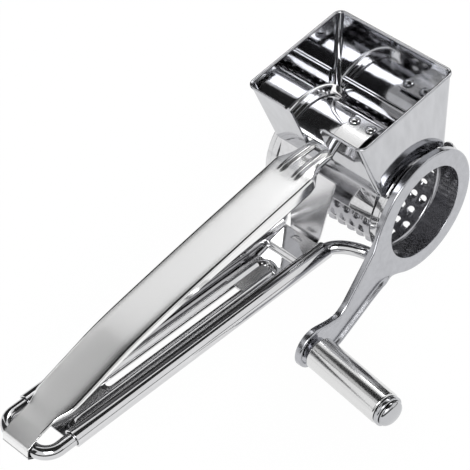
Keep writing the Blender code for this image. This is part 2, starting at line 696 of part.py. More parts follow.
def make_crank():
    """Ring that holds the drum's mouth and the stamped arm, pressed from one sheet."""
    front = RING_FRONT_Y
    t = RING_SHEET
    profile = [
        (RING_OPENING, front), (RING_OUTER - 1.2 * MM, front), (RING_OUTER - 0.35 * MM, front - 0.35 * MM),
        (RING_OUTER, front - 1.2 * MM), (RING_OUTER, RING_BACK_Y), (RING_OUTER - t, RING_BACK_Y),
        (RING_OUTER - t, front - t), (RING_OPENING, front - t),
    ]
    item = turned("crank", profile, 48, grey_steel)
    arm_front = -front - ARM_FLANGE_HEIGHT
    arm = cutter("arm_blank", plate("arm_blank", arm_outline(), arm_front, -front + t - 0.05 * MM, 'Y'))
    pocket = plate("arm_pocket", arm_outline(ARM_FLANGE_WIDTH), arm_front - MM, -front - 0.02 * MM, 'Y')
    far_off = -2.0 * RING_OUTER
    bore = plate("ring_bore", drum_circle(RING_OUTER - 1.7 * MM), far_off, -front, 'Y')
    mouth = plate("ring_mouth", drum_circle(RING_OPENING), far_off, 0.0, 'Y')
    eye = circle(GRIP_X, GRIP_Z, SPINDLE_RADIUS + GAP, 16)
    hole = plate("eye_hole", eye, far_off, 0.0, 'Y')
    cut(item, arm, 'UNION')
    cut(item, cutter("arm_pocket", pocket))
    cut(item, cutter("ring_bore", bore))
    cut(item, cutter("ring_mouth", mouth))
    cut(item, cutter("eye_hole", hole))
    smooth(item)
    return item


def grip_piece(name, profile, segments):
    """Profile of (radius, distance from the arm's front) turned about the leaning line of the grip."""
    item = turned(name, profile, segments, mirror_steel)
    arm = Vector((GRIP_X - AXIS_X, 0.0, GRIP_Z + AXIS_DEPTH)).normalized()
    lean = math.radians(GRIP_LEAN)
    along = Vector((0.0, -math.cos(lean), 0.0)) + arm * math.sin(lean)
    item.location = (GRIP_X, -RING_FRONT_Y, GRIP_Z)
    item.rotation_euler = along.to_track_quat('Z', 'Y').to_euler()
    smooth(item)


def make_grip():
    tilt = math.sin(math.radians(GRIP_LEAN))
    s = SPINDLE_RADIUS
    inner = s + GAP
    washer_start = GAP + WASHER_RADIUS * tilt
    washer_end = washer_start + WASHER_LENGTH
    a = washer_end + GAP
    b = a + SLEEVE_LENGTH
    c = b + GAP
    d = c + END_RING_LENGTH
    e = d + GAP
    head = -(RING_SHEET + GAP + SPINDLE_HEAD * tilt)
    r = GRIP_RADIUS
    k = CAP_RADIUS
    t = SLEEVE_ROUND
    grip_piece("grip_spindle", [
        (0.0, d + SPINDLE_END), (s, d + SPINDLE_END), (s, head), (SPINDLE_HEAD, head),
        (SPINDLE_HEAD * 0.88, head - SPINDLE_HEAD_HEIGHT * 0.85), (0.0, head - SPINDLE_HEAD_HEIGHT),
    ], 24)
    grip_piece("grip_washer", [
        (inner, washer_end), (WASHER_RADIUS, washer_end),
        (WASHER_RADIUS, washer_start), (inner, washer_start),
    ], 24)
    grip_piece("grip_sleeve", [
        (inner, b), (r - t, b), (r - t * 0.3, b - t * 0.3), (r, b - t),
        (r, a + t), (r - t * 0.3, a + t * 0.3), (r - t, a), (inner, a),
    ], 28)
    grip_piece("grip_end_ring", [
        (inner, d), (r - t * 1.5, d), (r - t * 0.5, d - t), (r - t * 0.5, c), (inner, c),
    ], 28)
    grip_piece("grip_cap", [
        (0.0, e + CAP_LENGTH), (k * 0.45, e + CAP_LENGTH * 0.93), (k * 0.82, e + CAP_LENGTH * 0.66),
        (k, e + CAP_LENGTH * 0.2), (k, e), (inner, e), (inner, e + CAP_RECESS), (0.0, e + CAP_RECESS),
    ], 28)


def stand_on_origin():
    """Move everything so that the middle of the base of the whole object's box is the origin."""
    bpy.context.view_layer.update()
    graph = bpy.context.evaluated_depsgraph_get()
    low = Vector((1.0, 1.0, 1.0))
    high = -low
    for item in parts.objects:
        mesh = item.evaluated_get(graph).to_mesh()
        for vertex in mesh.vertices:
            place_at = item.matrix_world @ vertex.co
            low = Vector(map(min, low, place_at))
            high = Vector(map(max, high, place_at))
        item.evaluated_get(graph).to_mesh_clear()
    shift = Vector((-(low.x + high.x) / 2.0, -(low.y + high.y) / 2.0, -low.z))
    for item in list(parts.objects) + list(cutters.objects):
        item.location += shift
    print("size in mm", [round(v * 1000.0, 2) for v in high - low])
    print("shift in mm", [round(v * 1000.0, 3) for v in shift])


make_hopper()
make_apron("handle_side_apron", -1)
make_apron("far_side_apron", 1)
make_collar("crank_side_collar", -1)
make_collar("far_side_collar", 1)
make_wire_frame()
make_handle_plate()
make_neck_plate()
rivet_holes(make_lever(), "lever_rivet_hole")
rivet_holes(make_press_plate(), "press_rivet_hole")
make_rivet("press_rivet_crank_side", -1)
make_rivet("press_rivet_far_side", 1)
make_drum()
make_crank()
make_grip()
stand_on_origin()
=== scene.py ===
# %% [markdown]
# A hand cranked drum cheese grater, all in polished stainless steel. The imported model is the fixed
# frame: it carries the sizes and the joints. This script dresses it with fine sheet metal surfaces,
# because mirror steel shows every facet. Each surface is a function worked out with numpy.

# %% Load the frame
import json
import math

import bpy
import bmesh
import numpy as np
from mathutils import Matrix, Vector


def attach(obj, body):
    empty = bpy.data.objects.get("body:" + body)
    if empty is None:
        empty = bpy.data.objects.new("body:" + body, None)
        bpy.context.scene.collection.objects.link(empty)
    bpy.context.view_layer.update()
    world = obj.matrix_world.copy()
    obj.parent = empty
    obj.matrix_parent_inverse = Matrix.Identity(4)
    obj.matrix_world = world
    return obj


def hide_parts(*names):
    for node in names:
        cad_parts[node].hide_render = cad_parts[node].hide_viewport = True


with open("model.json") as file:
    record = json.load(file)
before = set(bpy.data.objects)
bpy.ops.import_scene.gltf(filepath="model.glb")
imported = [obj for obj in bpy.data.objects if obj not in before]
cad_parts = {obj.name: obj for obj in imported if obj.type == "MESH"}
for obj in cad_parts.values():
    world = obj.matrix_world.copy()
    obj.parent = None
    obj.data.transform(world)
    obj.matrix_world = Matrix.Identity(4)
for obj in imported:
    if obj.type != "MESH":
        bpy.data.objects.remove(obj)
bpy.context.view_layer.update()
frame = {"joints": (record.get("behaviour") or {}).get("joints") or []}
joints = {joint["name"]: np.array(joint["pos_m"]) for joint in frame["joints"]}

# %% [markdown]
# Everything below is drawn in millimetres, measured from the middle of the hopper's rim, which is how
# one would measure the real tool with a ruler. The drum's joint says where that point lies in the frame.

# %% Units and the middle of the rim
MM = 0.001
AXIS_X = 0.9
AXIS_Z = -57.5
AXIS = (AXIS_X, AXIS_Z)
RIM_CENTRE = joints["crank_spin"] - np.array([AXIS_X, 0.0, AXIS_Z]) * MM
RIM_CENTRE[1] = joints["lever_hinge"][1]
print("middle of the rim at", RIM_CENTRE.round(5))


def to_frame(points):
    """Millimetres from the middle of the rim, turned into metres in the frame."""
    return np.asarray(points, float) * MM + RIM_CENTRE


# %% [markdown]
# A sheet metal piece is a grid of points: one direction along the piece, one across it. The grid
# becomes a mesh, and Solidify then gives it the thickness of the sheet, with the small rounded
# edge that a press leaves, because a bright line along each edge is what makes steel look like steel.
# Pushing a box's vertices about by hand would do too, but a formula can be changed and run again.

# %% Grids into meshes
def grid_faces(rows, columns, close_u=False, close_v=False):
    """Quads between neighbours of a grid of points; close joins the last row to the first."""
    index = np.arange(rows * columns).reshape(rows, columns)
    if close_u:
        index = np.vstack([index, index[:1]])
    if close_v:
        index = np.hstack([index, index[:, :1]])
    return np.stack([index[:-1, :-1], index[1:, :-1], index[1:, 1:], index[:-1, 1:]], -1).reshape(-1, 4)


def mesh_from_grid(name, grid, close_u=False, close_v=False):
    """Mesh of an (m, n, 3) grid of points in millimetres."""
    grid = np.asarray(grid, float)
    quads = grid_faces(*grid.shape[:2], close_u, close_v)
    mesh = bpy.data.meshes.new(name)
    mesh.from_pydata(to_frame(grid.reshape(-1, 3)).tolist(), [], quads.tolist())
    mesh.update()
    return mesh


def clean(mesh, distance=0.00001):
    """Merge doubles, drop faces without area and turn all faces outwards."""
    work = bmesh.new()
    work.from_mesh(mesh)
    bmesh.ops.remove_doubles(work, verts=work.verts, dist=distance)
    bmesh.ops.dissolve_degenerate(work, edges=work.edges, dist=distance * 0.2)
    bmesh.ops.recalc_face_normals(work, faces=work.faces)
    work.to_mesh(mesh)
    work.free()
    return mesh


print("a grid of 3 by 4 points has", len(grid_faces(3, 4)), "faces")

# %% Meshes into pieces
def piece(name, data):
    """New object at the origin, unturned and unscaled, so its points are places in the frame."""
    item = bpy.data.objects.new(name, data)
    bpy.context.scene.collection.objects.link(item)
    return item


def settle(item, angle=40.0):
    """Apply the modifiers, drop the cutters and shade the result smooth between its sharp edges."""
    tools = [m.object for m in item.modifiers if m.type == 'BOOLEAN']
    graph = bpy.context.evaluated_depsgraph_get()
    mesh = bpy.data.meshes.new_from_object(item.evaluated_get(graph))
    item.modifiers.clear()
    item.data = mesh
    for tool in tools:
        bpy.data.objects.remove(tool, do_unlink=True)
    mesh.shade_smooth()
    mesh.set_sharp_from_angle(angle=math.radians(angle))
    weigh = item.modifiers.new("flat faces stay flat", 'WEIGHTED_NORMAL')
    weigh.keep_sharp = True
    weigh.weight = 80
    return item


def hand_over(item, body, slot, material, *nodes):
    """Dress the piece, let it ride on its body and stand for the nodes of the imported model."""
    if material not in list(item.data.materials):
        item.data.materials.clear()
        item.data.materials.append(material)
    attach(item, body)
    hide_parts(*nodes)
    print(item.name, "stands for", ", ".join(nodes), "with", len(item.data.polygons), "faces")


# %% [markdown]
# The steel. All of it is one metal, and the finish differs: a mirror polish on the hopper, wire and
# handle plate, satin on the lever's top and the neck, a greyer smooth one on the crank and drum. The
# hopper's colour is darker and bluer than the mirror steel: painted shade, the grey of the shaded
# floor it reflects. The grip's end ring and cap are darker too, painted shade for their dark
# reflections. Inside the lever, on its cut edges and round the bottom of its fold the steel is dull
# and dark: partly a dull finish, partly painted shade. One colour and one roughness would look like
# plastic. Polishing leaves faint streaks, so here both wander with noise that is stretched along the
# piece, and a very low bump makes the reflections swim, as sheet is never quite flat.

# %% Shader nodes
def wire_up(tree, node, *by_place, **by_name):
    """Give inputs, by place or by name, a value or a link from another node's output."""
    for key, value in [*enumerate(by_place), *by_name.items()]:
        socket = node.inputs[key if isinstance(key, int) else key.replace("_", " ")]
        if isinstance(value, bpy.types.NodeSocket):
            tree.links.new(value, socket)
        else:
            socket.default_value = value
    return node


def add_node(tree, kind, *by_place, operation=None, **by_name):
    """New shader node of a kind, with its operation if any, wired up."""
    node = tree.nodes.new("ShaderNode" + kind)
    if operation:
        node.operation = operation
    return wire_up(tree, node, *by_place, **by_name)


def new_material(name):
    """Material with nodes, and its node tree."""
    material = bpy.data.materials.new(name)
    material.use_nodes = True
    return material, material.node_tree


print("node helpers ready")

# %% Steel materials
def steel(name, colour, rough, streak=(4.0, 60.0, 60.0), spread=0.05, wave=0.15, tint=0.06):
    """Metal whose colour and roughness vary with stretched noise in Object coordinates."""
    material, tree = new_material(name)
    place = add_node(tree, "TexCoord").outputs["Object"]
    stretch = add_node(tree, "Mapping", Vector=place, Scale=streak)
    noise = add_node(tree, "TexNoise", Vector=stretch.outputs["Vector"], Scale=14.0, Detail=6.0)
    ramp = add_node(tree, "ValToRGB", Fac=noise.outputs["Fac"])
    for end, position, share in zip(ramp.color_ramp.elements, (0.3, 0.7), (1.0 - tint, 1.0 + tint)):
        end.position = position
        end.color = (*(min(1.0, c * share) for c in colour), 1.0)
    span = add_node(tree, "MapRange", Value=noise.outputs["Fac"])
    wire_up(tree, span, To_Min=max(0.02, rough - spread), To_Max=rough + spread)
    swell = add_node(tree, "TexNoise", Vector=place, Scale=55.0, Detail=2.0)
    bump = add_node(tree, "Bump", Strength=wave, Distance=0.0006, Height=swell.outputs["Fac"])
    surface = wire_up(tree, tree.nodes["Principled BSDF"], Metallic=1.0, Normal=bump.outputs["Normal"])
    wire_up(tree, surface, Base_Color=ramp.outputs["Color"], Roughness=span.outputs["Result"])
    return material


MIRROR = (0.66, 0.66, 0.67)
mirror_steel = steel("mirror_steel", MIRROR, 0.07)
# Painted shade: the hopper is darker and bluer than the mirror steel, for the grey of the shaded floor
# that its walls reflect.
hopper_painted_shade_steel = steel(
    "hopper_painted_shade_steel", (0.52, 0.525, 0.545), 0.06, (20.0, 20.0, 6.0), spread=0.03, wave=0.05)
satin_steel = steel(
    "satin_steel", (0.87, 0.87, 0.87), 0.24, (2.0, 90.0, 90.0), spread=0.02, wave=0.02, tint=0.015)
# Partly a dull finish, partly painted shade: this dark steel inside the lever, on its cut edges and
# under its fold stands in for the shade there.
dull_and_painted_shade_steel = steel("dull_and_painted_shade_steel", (0.16, 0.16, 0.165), 0.35, (2.0, 80.0, 80.0), spread=0.05)
crank_steel = steel("crank_steel", (0.45, 0.455, 0.48), 0.20, (30.0, 30.0, 30.0), spread=0.06)
wire_steel = steel("wire_steel", (0.62, 0.62, 0.63), 0.08, (3.0, 3.0, 3.0))
drum_steel = steel("drum_steel", (0.42, 0.42, 0.44), 0.16, (30.0, 4.0, 30.0))
grip_steel = steel(
    "grip_steel", (0.72, 0.72, 0.72), 0.14, (6.0, 1.0, 6.0), spread=0.01, wave=0.01, tint=0.015)
neck_steel = steel(
    "neck_steel", (0.74, 0.74, 0.75), 0.2, (6.0, 6.0, 2.0), spread=0.02, wave=0.01, tint=0.02)
# Painted shade: the grip's end ring and cap are darker than the other steel, for their dark reflections.
cap_painted_shade_steel = steel(
    "cap_painted_shade_steel", (0.5, 0.505, 0.52), 0.12, (6.0, 6.0, 6.0), spread=0.02, wave=0.02, tint=0.03)
plate_steel = steel("plate_steel", MIRROR, 0.07, (3.0, 40.0, 40.0), spread=0.03, wave=0.02)
polished_steel = steel(
    "polished_steel", (0.86, 0.86, 0.86), 0.09, (2.0, 60.0, 60.0), spread=0.03, wave=0.02)
print("materials so far:", [item.name for item in bpy.data.materials])

# %% [markdown]
# The hopper is four walls bent from sheet: upright over the collars, leaning in towards the drum at
# the handle and opposite it, with round corners and a rolled rim. It is one loop carried downwards, so
# a grid of depth by place around the loop fits, and the rim is part of the same grid, which a bevelled
# box couldn't give. The notch and the arches over the collars are cut afterwards, as the press would.

# %% Arcs and cutters
def arc(centre, radius, start, end, steps):
    """Points at centre plus radius times (cos, sin) of angles from start to end, in degrees."""
    angle = np.radians(np.linspace(start, end, steps + 1))
    return np.column_stack([centre[0] + radius * np.cos(angle), centre[1] + radius * np.sin(angle)])


def prism(name, outline, low, high, along):
    """Cutter: a flat outline as a solid between two heights along 'x', 'y' or 'z'."""
    order = {'x': (2, 0, 1), 'y': (0, 2, 1), 'z': (0, 1, 2)}[along]
    count = len(outline)
    layers = [np.column_stack([outline, np.full(count, height)])[:, order] for height in (low, high)]
    faces = [tuple(range(count)), tuple(range(2 * count - 1, count - 1, -1))]
    faces += [(k, (k + 1) % count, count + (k + 1) % count, count + k) for k in range(count)]
    mesh = bpy.data.meshes.new(name)
    mesh.from_pydata(to_frame(np.vstack(layers)).tolist(), [], faces)
    tool = piece(name, clean(mesh))
    tool.hide_render = True
    return tool


def carve(item, tool):
    """Cut the tool's solid out of the piece."""
    cutting = item.modifiers.new("cut", 'BOOLEAN')
    cutting.operation = 'DIFFERENCE'
    cutting.solver = 'EXACT'
    cutting.object = tool


print("a quarter turn in eight steps has", len(arc((0.0, 0.0), 1.0, 0, 90, 8)), "points")

# %% Hopper
RIM_HALF_LENGTH = 28.5
RIM_HALF_WIDTH = 30.9
HANDLE_WALL_SLOPE = 0.281
FAR_WALL_SLOPE = 0.148
HOPPER_SHEET = 0.9
HOPPER_PROFILE = (  # depth, how far proud of the wall
    (40.5, 0.0), (30.0, 0.0), (20.0, 0.0), (10.0, 0.0), (1.7, 0.0), (1.4, 0.14), (1.15, 0.35),
    (0.9, 0.47), (0.65, 0.5), (0.4, 0.45), (0.18, 0.3), (0.04, 0.08), (0.0, -0.2), (0.04, -0.5),
    (0.2, -0.75),
    *((depth, -HOPPER_SHEET) for depth in (0.5, 1.0, 10.0, 20.0, 30.0, 40.5)),
)


def hopper_loop(depth, proud):
    """Rounded rectangle at one depth: the x sides move in by their slope times the depth."""
    low = -RIM_HALF_LENGTH + HANDLE_WALL_SLOPE * depth - proud
    high = RIM_HALF_LENGTH - FAR_WALL_SLOPE * depth + proud
    half = RIM_HALF_WIDTH + proud
    r = 3.5 + proud
    corners = ((high - r, half - r), (low + r, half - r), (low + r, r - half), (high - r, r - half))
    loop = np.vstack([arc(corner, r, 90 * k, 90 * k + 90, 8) for k, corner in enumerate(corners)])
    return np.column_stack([loop, np.full(len(loop), -depth)])


def make_hopper():
    """Loops at the profile's depths, as far proud as its second number says, closed to a shell."""
    grid = np.stack([hopper_loop(depth, proud) for depth, proud in HOPPER_PROFILE])
    mesh = mesh_from_grid("hopper_shell", grid, close_u=True, close_v=True)
    item = piece("hopper_shell", clean(mesh))
    carve(item, prism("arch", arc(AXIS, 27.6, 0, 357, 119), -70, 70, 'y'))
    half = 7.5
    corner = arc((half + 4.0, -4.0), 4.0, 180, 90, 8)
    foot = arc((half - 1.5, -26.0), 1.5, 0, -90, 5)
    right = np.vstack([[(half + 4.0, 3.0)], corner[::-1], foot])
    left = right[::-1] * np.array([-1.0, 1.0])
    carve(item, prism("notch", np.vstack([right, left]), -40, -10, 'x'))
    settle(item)
    hand_over(item, "frame", "mirror_steel", hopper_painted_shade_steel, "hopper")


make_hopper()

# %% [markdown]
# Between the leaning walls and the drum lie two aprons, which keep the cheese from falling past it.
# Each is a strip with a curved foot that follows the drum and a straight top tucked inside the wall.
# An extruded curve would give the same shape, but as a grid it is made like all the other sheets.

# %% Aprons
APRON_SHEET = 0.8


def thicken(item, thickness, offset):
    """Give the surface the thickness of its sheet."""
    solid = item.modifiers.new("sheet", 'SOLIDIFY')
    solid.thickness = thickness * MM
    solid.offset = offset
    solid.use_even_offset = True


def soften(item, width=0.16, angle=40.0):
    """Round the edges that turn by more than the angle, as a press does."""
    edge = item.modifiers.new("pressed edge", 'BEVEL')
    edge.width = width * MM
    edge.segments = 2
    edge.limit_method = 'ANGLE'
    edge.angle_limit = math.radians(angle)


def carried(name, profile, places):
    """Sheet of (x, z) points by y places, which are one row for all points or a row for each."""
    profile = np.asarray(profile, float)
    places = np.atleast_2d(places)
    grid = np.zeros((len(profile), places.shape[1], 3))
    grid[:, :, 0] = profile[:, :1]
    grid[:, :, 1] = places
    grid[:, :, 2] = profile[:, 1:]
    return piece(name, mesh_from_grid(name, grid))


def make_apron(side, name, node):
    """Arc of 15 degrees beside the drum, then a straight line just inside the leaning wall."""
    start, end = (19, 34) if side > 0 else (161, 146)
    slope = FAR_WALL_SLOPE if side > 0 else HANDLE_WALL_SLOPE
    foot = arc(AXIS, 23.5, start, end, 10)
    inset = HOPPER_SHEET * 1.05 + 0.3 + APRON_SHEET
    top = [(side * (RIM_HALF_LENGTH - slope * depth - inset), -depth) for depth in (37.3, 33.0)]
    item = carried(name, np.vstack([foot, top]), np.linspace(-26.3, 26.3, 9))
    thicken(item, APRON_SHEET, -side)
    soften(item)
    settle(item)
    hand_over(item, "frame", "mirror_steel", mirror_steel, node)


make_apron(-1, "apron_handle_side", "handle_side_apron")
make_apron(1, "apron_far_side", "far_side_apron")

# %% [markdown]
# Round pieces are profiles turned about a line: the collars, the drum's bands, the rivets, the grip and
# its rings. A turned grid is angle by profile, and the rounded corners are already in the profile. The
# Screw modifier would do it too, but here any line will do, and the grip's line leans. The two collars
# come first: they are the bearings that hold the drum in the hopper.

# %% Turning
DRUM_CENTRE = np.array([AXIS_X, 0.0, AXIS_Z])


def bow(start, pull, end, t):
    """Quadratic curve drawn towards pull: (1 - t)^2 start + 2 t (1 - t) pull + t^2 end."""
    return (1 - t) ** 2 * start + 2 * t * (1 - t) * pull + t * t * end


def rounded(profile, radius, steps=3):
    """Replace each corner of a closed (radius, along) profile by a small round of three cuts."""
    profile = np.asarray(profile, float)
    result = []
    for k in range(len(profile)):
        before, here, after = profile[k - 1], profile[k], profile[(k + 1) % len(profile)]
        if here[0] == 0.0:
            result.append(here)
            continue
        start, end = (
            here + way * min(radius / np.linalg.norm(way), 0.45)
            for way in (before - here, after - here))
        for t in np.linspace(0.0, 1.0, steps + 1):
            result.append(bow(start, here, end, t))
    return np.array(result)


def ring_grid(profile, origin, along, segments):
    """(radius, distance) profile turned: origin + distance along + radius (cos a, sin a) across."""
    profile = np.asarray(profile, float)
    along = np.asarray(along, float)
    across = np.cross(along, (0.0, 0.0, 1.0))
    across /= np.linalg.norm(across)
    other = np.cross(across, along)
    angle = np.linspace(0.0, 2 * math.pi, segments, endpoint=False)
    ring = np.cos(angle)[:, None] * across + np.sin(angle)[:, None] * other
    return np.asarray(origin, float) + profile[:, 1:] * along + profile[:, :1] * ring[:, None]


def turned(name, profile, origin, along=(0.0, 1.0, 0.0), segments=128):
    """The turned profile as a piece, closed to a ring if it keeps off the line."""
    grid = ring_grid(profile, origin, along, segments)
    closed = profile[0][0] > 0.0
    return piece(name, clean(mesh_from_grid(name, grid, close_u=True, close_v=closed)))


print("a square with rounded corners:", len(rounded([(1, 0), (2, 0), (2, 1), (1, 1)], 0.1)), "points")

# %% Collars
COLLAR_INNER = 23.6
COLLAR_OUTER = 24.4


def make_collar(side, name, node):
    """Flanged ring turned about the drum's axis; the flange is trimmed away where the walls stop."""
    flange = RIM_HALF_WIDTH - HOPPER_SHEET - 0.3
    profile = [
        (COLLAR_INNER, 32.3), (COLLAR_OUTER, 32.3), (COLLAR_OUTER, flange), (27.3, flange),
        (27.3, flange - 0.8), (COLLAR_OUTER, flange - 0.8), (COLLAR_OUTER, 26.9), (COLLAR_INNER, 26.9),
    ]
    profile = rounded(np.array(profile) * (1, side), 0.3)
    item = turned(name, profile, DRUM_CENTRE)
    ring = np.vstack([arc(AXIS, 24.43, 50, -232, 120), arc(AXIS, 30.0, -232, 50, 120)])
    low, high = sorted((side * 27.4, side * (flange + 0.1)))
    carve(item, prism("trim", ring, low, high, 'y'))
    settle(item)
    hand_over(item, "frame", "mirror_steel", mirror_steel, node)


make_collar(-1, "collar_crank_side", "crank_side_collar")
make_collar(1, "collar_far_side", "far_side_collar")

# %% [markdown]
# The wire frame is one length of round wire. Its line runs from the corner of the hopper round under a
# collar, swings in to the leg, runs to the tip, bends round and comes back. A tube is that line
# with a circle carried along it, the circle kept square to the line. A curve object with a round bevel
# would end in flat cuts, and here the ends are a little rounded.

# %% Wire line
CRADLE_RADIUS = 27.62
CRADLE_Y = 29.5
LEG_START = -38.0
LEG_SLOPE = 0.14
LEG_Y = 13.0
TIP_X = -192.5
TIP_BEND = 7.0


def leg_height(x):
    """The legs fall by LEG_SLOPE for each unit towards the hopper."""
    return -61.6 - LEG_SLOPE * (x + 57.0)


def hermite(start, way_in, end, way_out, t):
    """Cubic curve from start to end that leaves along way_in and arrives along way_out."""
    away, near = (1 - t) ** 2, t * t
    return away * ((1 + 2 * t) * start + t * way_in) + near * ((3 - 2 * t) * end + (t - 1) * way_out)


def wire_line():
    """Arc under the collar, cubic bend, straight leg and quarter turn, and their mirror image."""
    low = arc(AXIS, CRADLE_RADIUS, 392, 205, 72)
    cradle = np.column_stack([low[:, 0], np.full(len(low), CRADLE_Y), low[:, 1]])
    angle = math.radians(205)
    leaving = np.array([math.sin(angle), 0.0, -math.cos(angle)])
    leg = np.array([LEG_START, LEG_Y, leg_height(LEG_START)])
    back = np.array([-1.0, 0.0, LEG_SLOPE]) / math.hypot(1.0, LEG_SLOPE)
    bend = hermite(cradle[-1], leaving * 24.0, leg, back * 26.0, np.linspace(0.0, 1.0, 41)[:, None])
    along = np.linspace(LEG_START, TIP_X + TIP_BEND, 30)[1:]
    straight = np.column_stack([along, np.full(len(along), LEG_Y), leg_height(along)])
    turn = arc((TIP_X + TIP_BEND, LEG_Y - TIP_BEND), TIP_BEND, 90, 180, 20)
    tip = np.column_stack([turn[:, 0], turn[:, 1], leg_height(turn[:, 0])])
    half = np.vstack([cradle, bend[1:], straight, tip[1:]])
    return np.vstack([half, (half * (1, -1, 1))[::-1]])


print("the wire's line has", len(wire_line()), "points")

# %% Wire frame
WIRE_RADIUS = 2.94


def tube(name, line, radius, sides=32, round_end=0.5):
    """Circle of the radius carried along the line; the side vector turns with the line."""
    way = np.gradient(line, axis=0)
    way /= np.linalg.norm(way, axis=1)[:, None]
    side = np.zeros_like(line)
    side[0] = np.cross(way[0], (0.0, 1.0, 0.0))
    side[0] /= np.linalg.norm(side[0])
    for k in range(1, len(line)):
        moved = side[k - 1] - way[k] * np.dot(side[k - 1], way[k])
        side[k] = moved / np.linalg.norm(moved)
    other = np.cross(way, side)
    angle = np.linspace(0.0, 2 * math.pi, sides, endpoint=False)
    ring = np.cos(angle)[:, None] * side[:, None] + np.sin(angle)[:, None] * other[:, None]
    grid = line[:, None] + radius * ring
    turn = np.radians([30.0, 60.0, 90.0])
    reach = [*(radius - round_end * (1 - np.cos(turn))), 0.0]
    push = [*(round_end * np.sin(turn)), round_end]
    first = [line[0] + r * ring[0] - way[0] * p for r, p in zip(reach, push)]
    last = [line[-1] + r * ring[-1] + way[-1] * p for r, p in zip(reach, push)]
    whole = np.concatenate([first[::-1], grid, last])
    return piece(name, clean(mesh_from_grid(name, whole, close_v=True)))


wire = settle(tube("wire", wire_line(), WIRE_RADIUS))
hand_over(wire, "frame", "mirror_steel", wire_steel, "wire_frame")

# %% [markdown]
# The handle plate fills the space between the legs. Its edges are rolled right round the wire, one
# rib runs round the long slot to stiffen it, and the end at the hopper is folded up a little, with a D
# shaped hole. The cross section is one long line, so the grid is place along the handle by place on
# that line. A flat sheet bent by modifiers would be harder to keep round the wire.

# %% Handle plate
PLATE_START = -178.8
PLATE_END = -36.6
FOLD_X = -50.0
RIB_HEIGHT = 1.2


def handle_section(x):
    """Line across the plate: a roll of 290 degrees round each wire, and height = rise + rib between."""
    curl = 3.3
    fold = np.clip((x - FOLD_X) / 2.0, 0.0, 1.0)
    rise = 1.5 * fold * fold * (3 - 2 * fold) + 0.13 * max(x + 56.0, 0.0)
    fade = np.clip((x - PLATE_START - 1.0) / 6.0, 0.0, 1.0)
    roll = arc((LEG_Y, 0.0), curl, 200, -90, 36)
    y = np.linspace(LEG_Y - 0.1, 0.0, 70)
    ramp = np.clip((LEG_Y - y) / 3.0, 0.0, 1.0)
    reach = np.hypot(max(x + 61.0, 0.0), y)
    ridge = RIB_HEIGHT * fade * np.clip(np.minimum((reach - 2.5) / 1.5, (5.8 - reach) / 1.4), 0.0, 1.0)
    z = -curl + rise * ramp * ramp * (3 - 2 * ramp) + ridge
    half = np.vstack([roll, np.column_stack([y, z])])
    other = half[:-1][::-1] * (-1, 1)
    line = np.vstack([half, other])
    return np.column_stack([np.full(len(line), x), line[:, 0], leg_height(x) + line[:, 1]])


def make_handle_plate():
    """Sections along the handle, thickened, with the slot and the D hole cut through."""
    along = np.concatenate([np.linspace(PLATE_START, -63.0, 40), np.linspace(-62.0, PLATE_END, 48)])
    sections = np.stack([handle_section(x) for x in along])
    item = piece("handle_base", mesh_from_grid("handle_base", sections))
    thicken(item, 0.7, 1.0)
    r = 1.5
    slot = np.vstack([arc((-57.9 - r, 0), r, -90, 90, 12), arc((-57.9 - 92.0 + r, 0), r, 90, 270, 12)])
    carve(item, prism("slot", slot, -80, -40, 'z'))
    hole = arc((PLATE_END - 4.3, 0.0), 2.7, -90, 90, 14)
    carve(item, prism("d_hole", hole, -80, -40, 'z'))
    soften(item, 0.14, 50.0)
    settle(item)
    hand_over(item, "frame", "mirror_steel", plate_steel, "handle_plate")


make_handle_plate()

# %% [markdown]
# The neck plate lies under the handle plate, where the slot shows it, bends up in one smooth curve and
# widens on its way to the hopper. Its line is two straights with a quadratic curve between them, and
# its half width is a smooth curve through four measured heights. A bent box would keep one width.

# %% Neck plate
NECK_FOOT = -76.0
NECK_BEND = -37.5
NECK_BELOW = 4.3


def glide(x, knots_x, knots_y):
    """Cubic pieces through knots; the slope at each is the harmonic mean of the rises beside it."""
    kx, ky = np.array(knots_x), np.array(knots_y)
    step = np.diff(kx)
    rise = np.diff(ky) / step
    slope = np.zeros(len(kx))
    product = np.clip(rise[:-1] * rise[1:], 0.0, None)
    slope[1:-1] = 2.0 * product / np.where(product > 0.0, rise[:-1] + rise[1:], 1.0)
    slope[0], slope[-1] = rise[0], rise[-1]
    k = np.clip(np.searchsorted(kx, x, side='right') - 1, 0, len(step) - 1)
    h = step[k]
    return hermite(ky[k], slope[k] * h, ky[k + 1], slope[k + 1] * h, (x - kx[k]) / h)


def make_neck_plate():
    """Grid of (x, half width * share across, z), carried along foot, bend and rise."""
    foot = np.array([NECK_FOOT, leg_height(NECK_FOOT) - NECK_BELOW])
    bend = np.array([NECK_BEND, leg_height(NECK_BEND) - NECK_BELOW])
    upper = np.array([-34.9, bend[1] + 1.2])
    top = np.array([-25.0, -33.5])
    lead = np.linspace(0.0, 1.0, 8)[:-1, None]
    t = np.linspace(0.0, 1.0, 14)[:, None]
    bent = 0.12
    corner = bow(bend, np.array([-35.6, bend[1]]), upper + (top - upper) * bent, t)
    rest = np.linspace(bent, 1.0, 16)[1:, None]
    line = np.vstack([foot + (bend - foot) * lead, corner, upper + (top - upper) * rest])
    width = glide(line[:, 1], [-69.0, -66.0, -50.0, -33.5], [6.9, 7.7, 9.9, 12.2])
    item = carried("neck", line, width[:, None] * np.linspace(-1.0, 1.0, 21))
    thicken(item, 1.0, 1.0)
    soften(item)
    settle(item)
    hand_over(item, "frame", "mirror_steel", neck_steel, "neck_plate")


make_neck_plate()

# %% [markdown]
# The lever is the largest pressing: a long channel, bowed upwards, that narrows at the hopper and at
# the tip, where it is folded round the wire to make the hinge. The fold is a rounded square. Its line,
# its half width and the depth of its skirts are each a smooth curve along it, and a rounded channel is
# carried along. A subdivided box would be quicker, but these curves can follow measured widths.

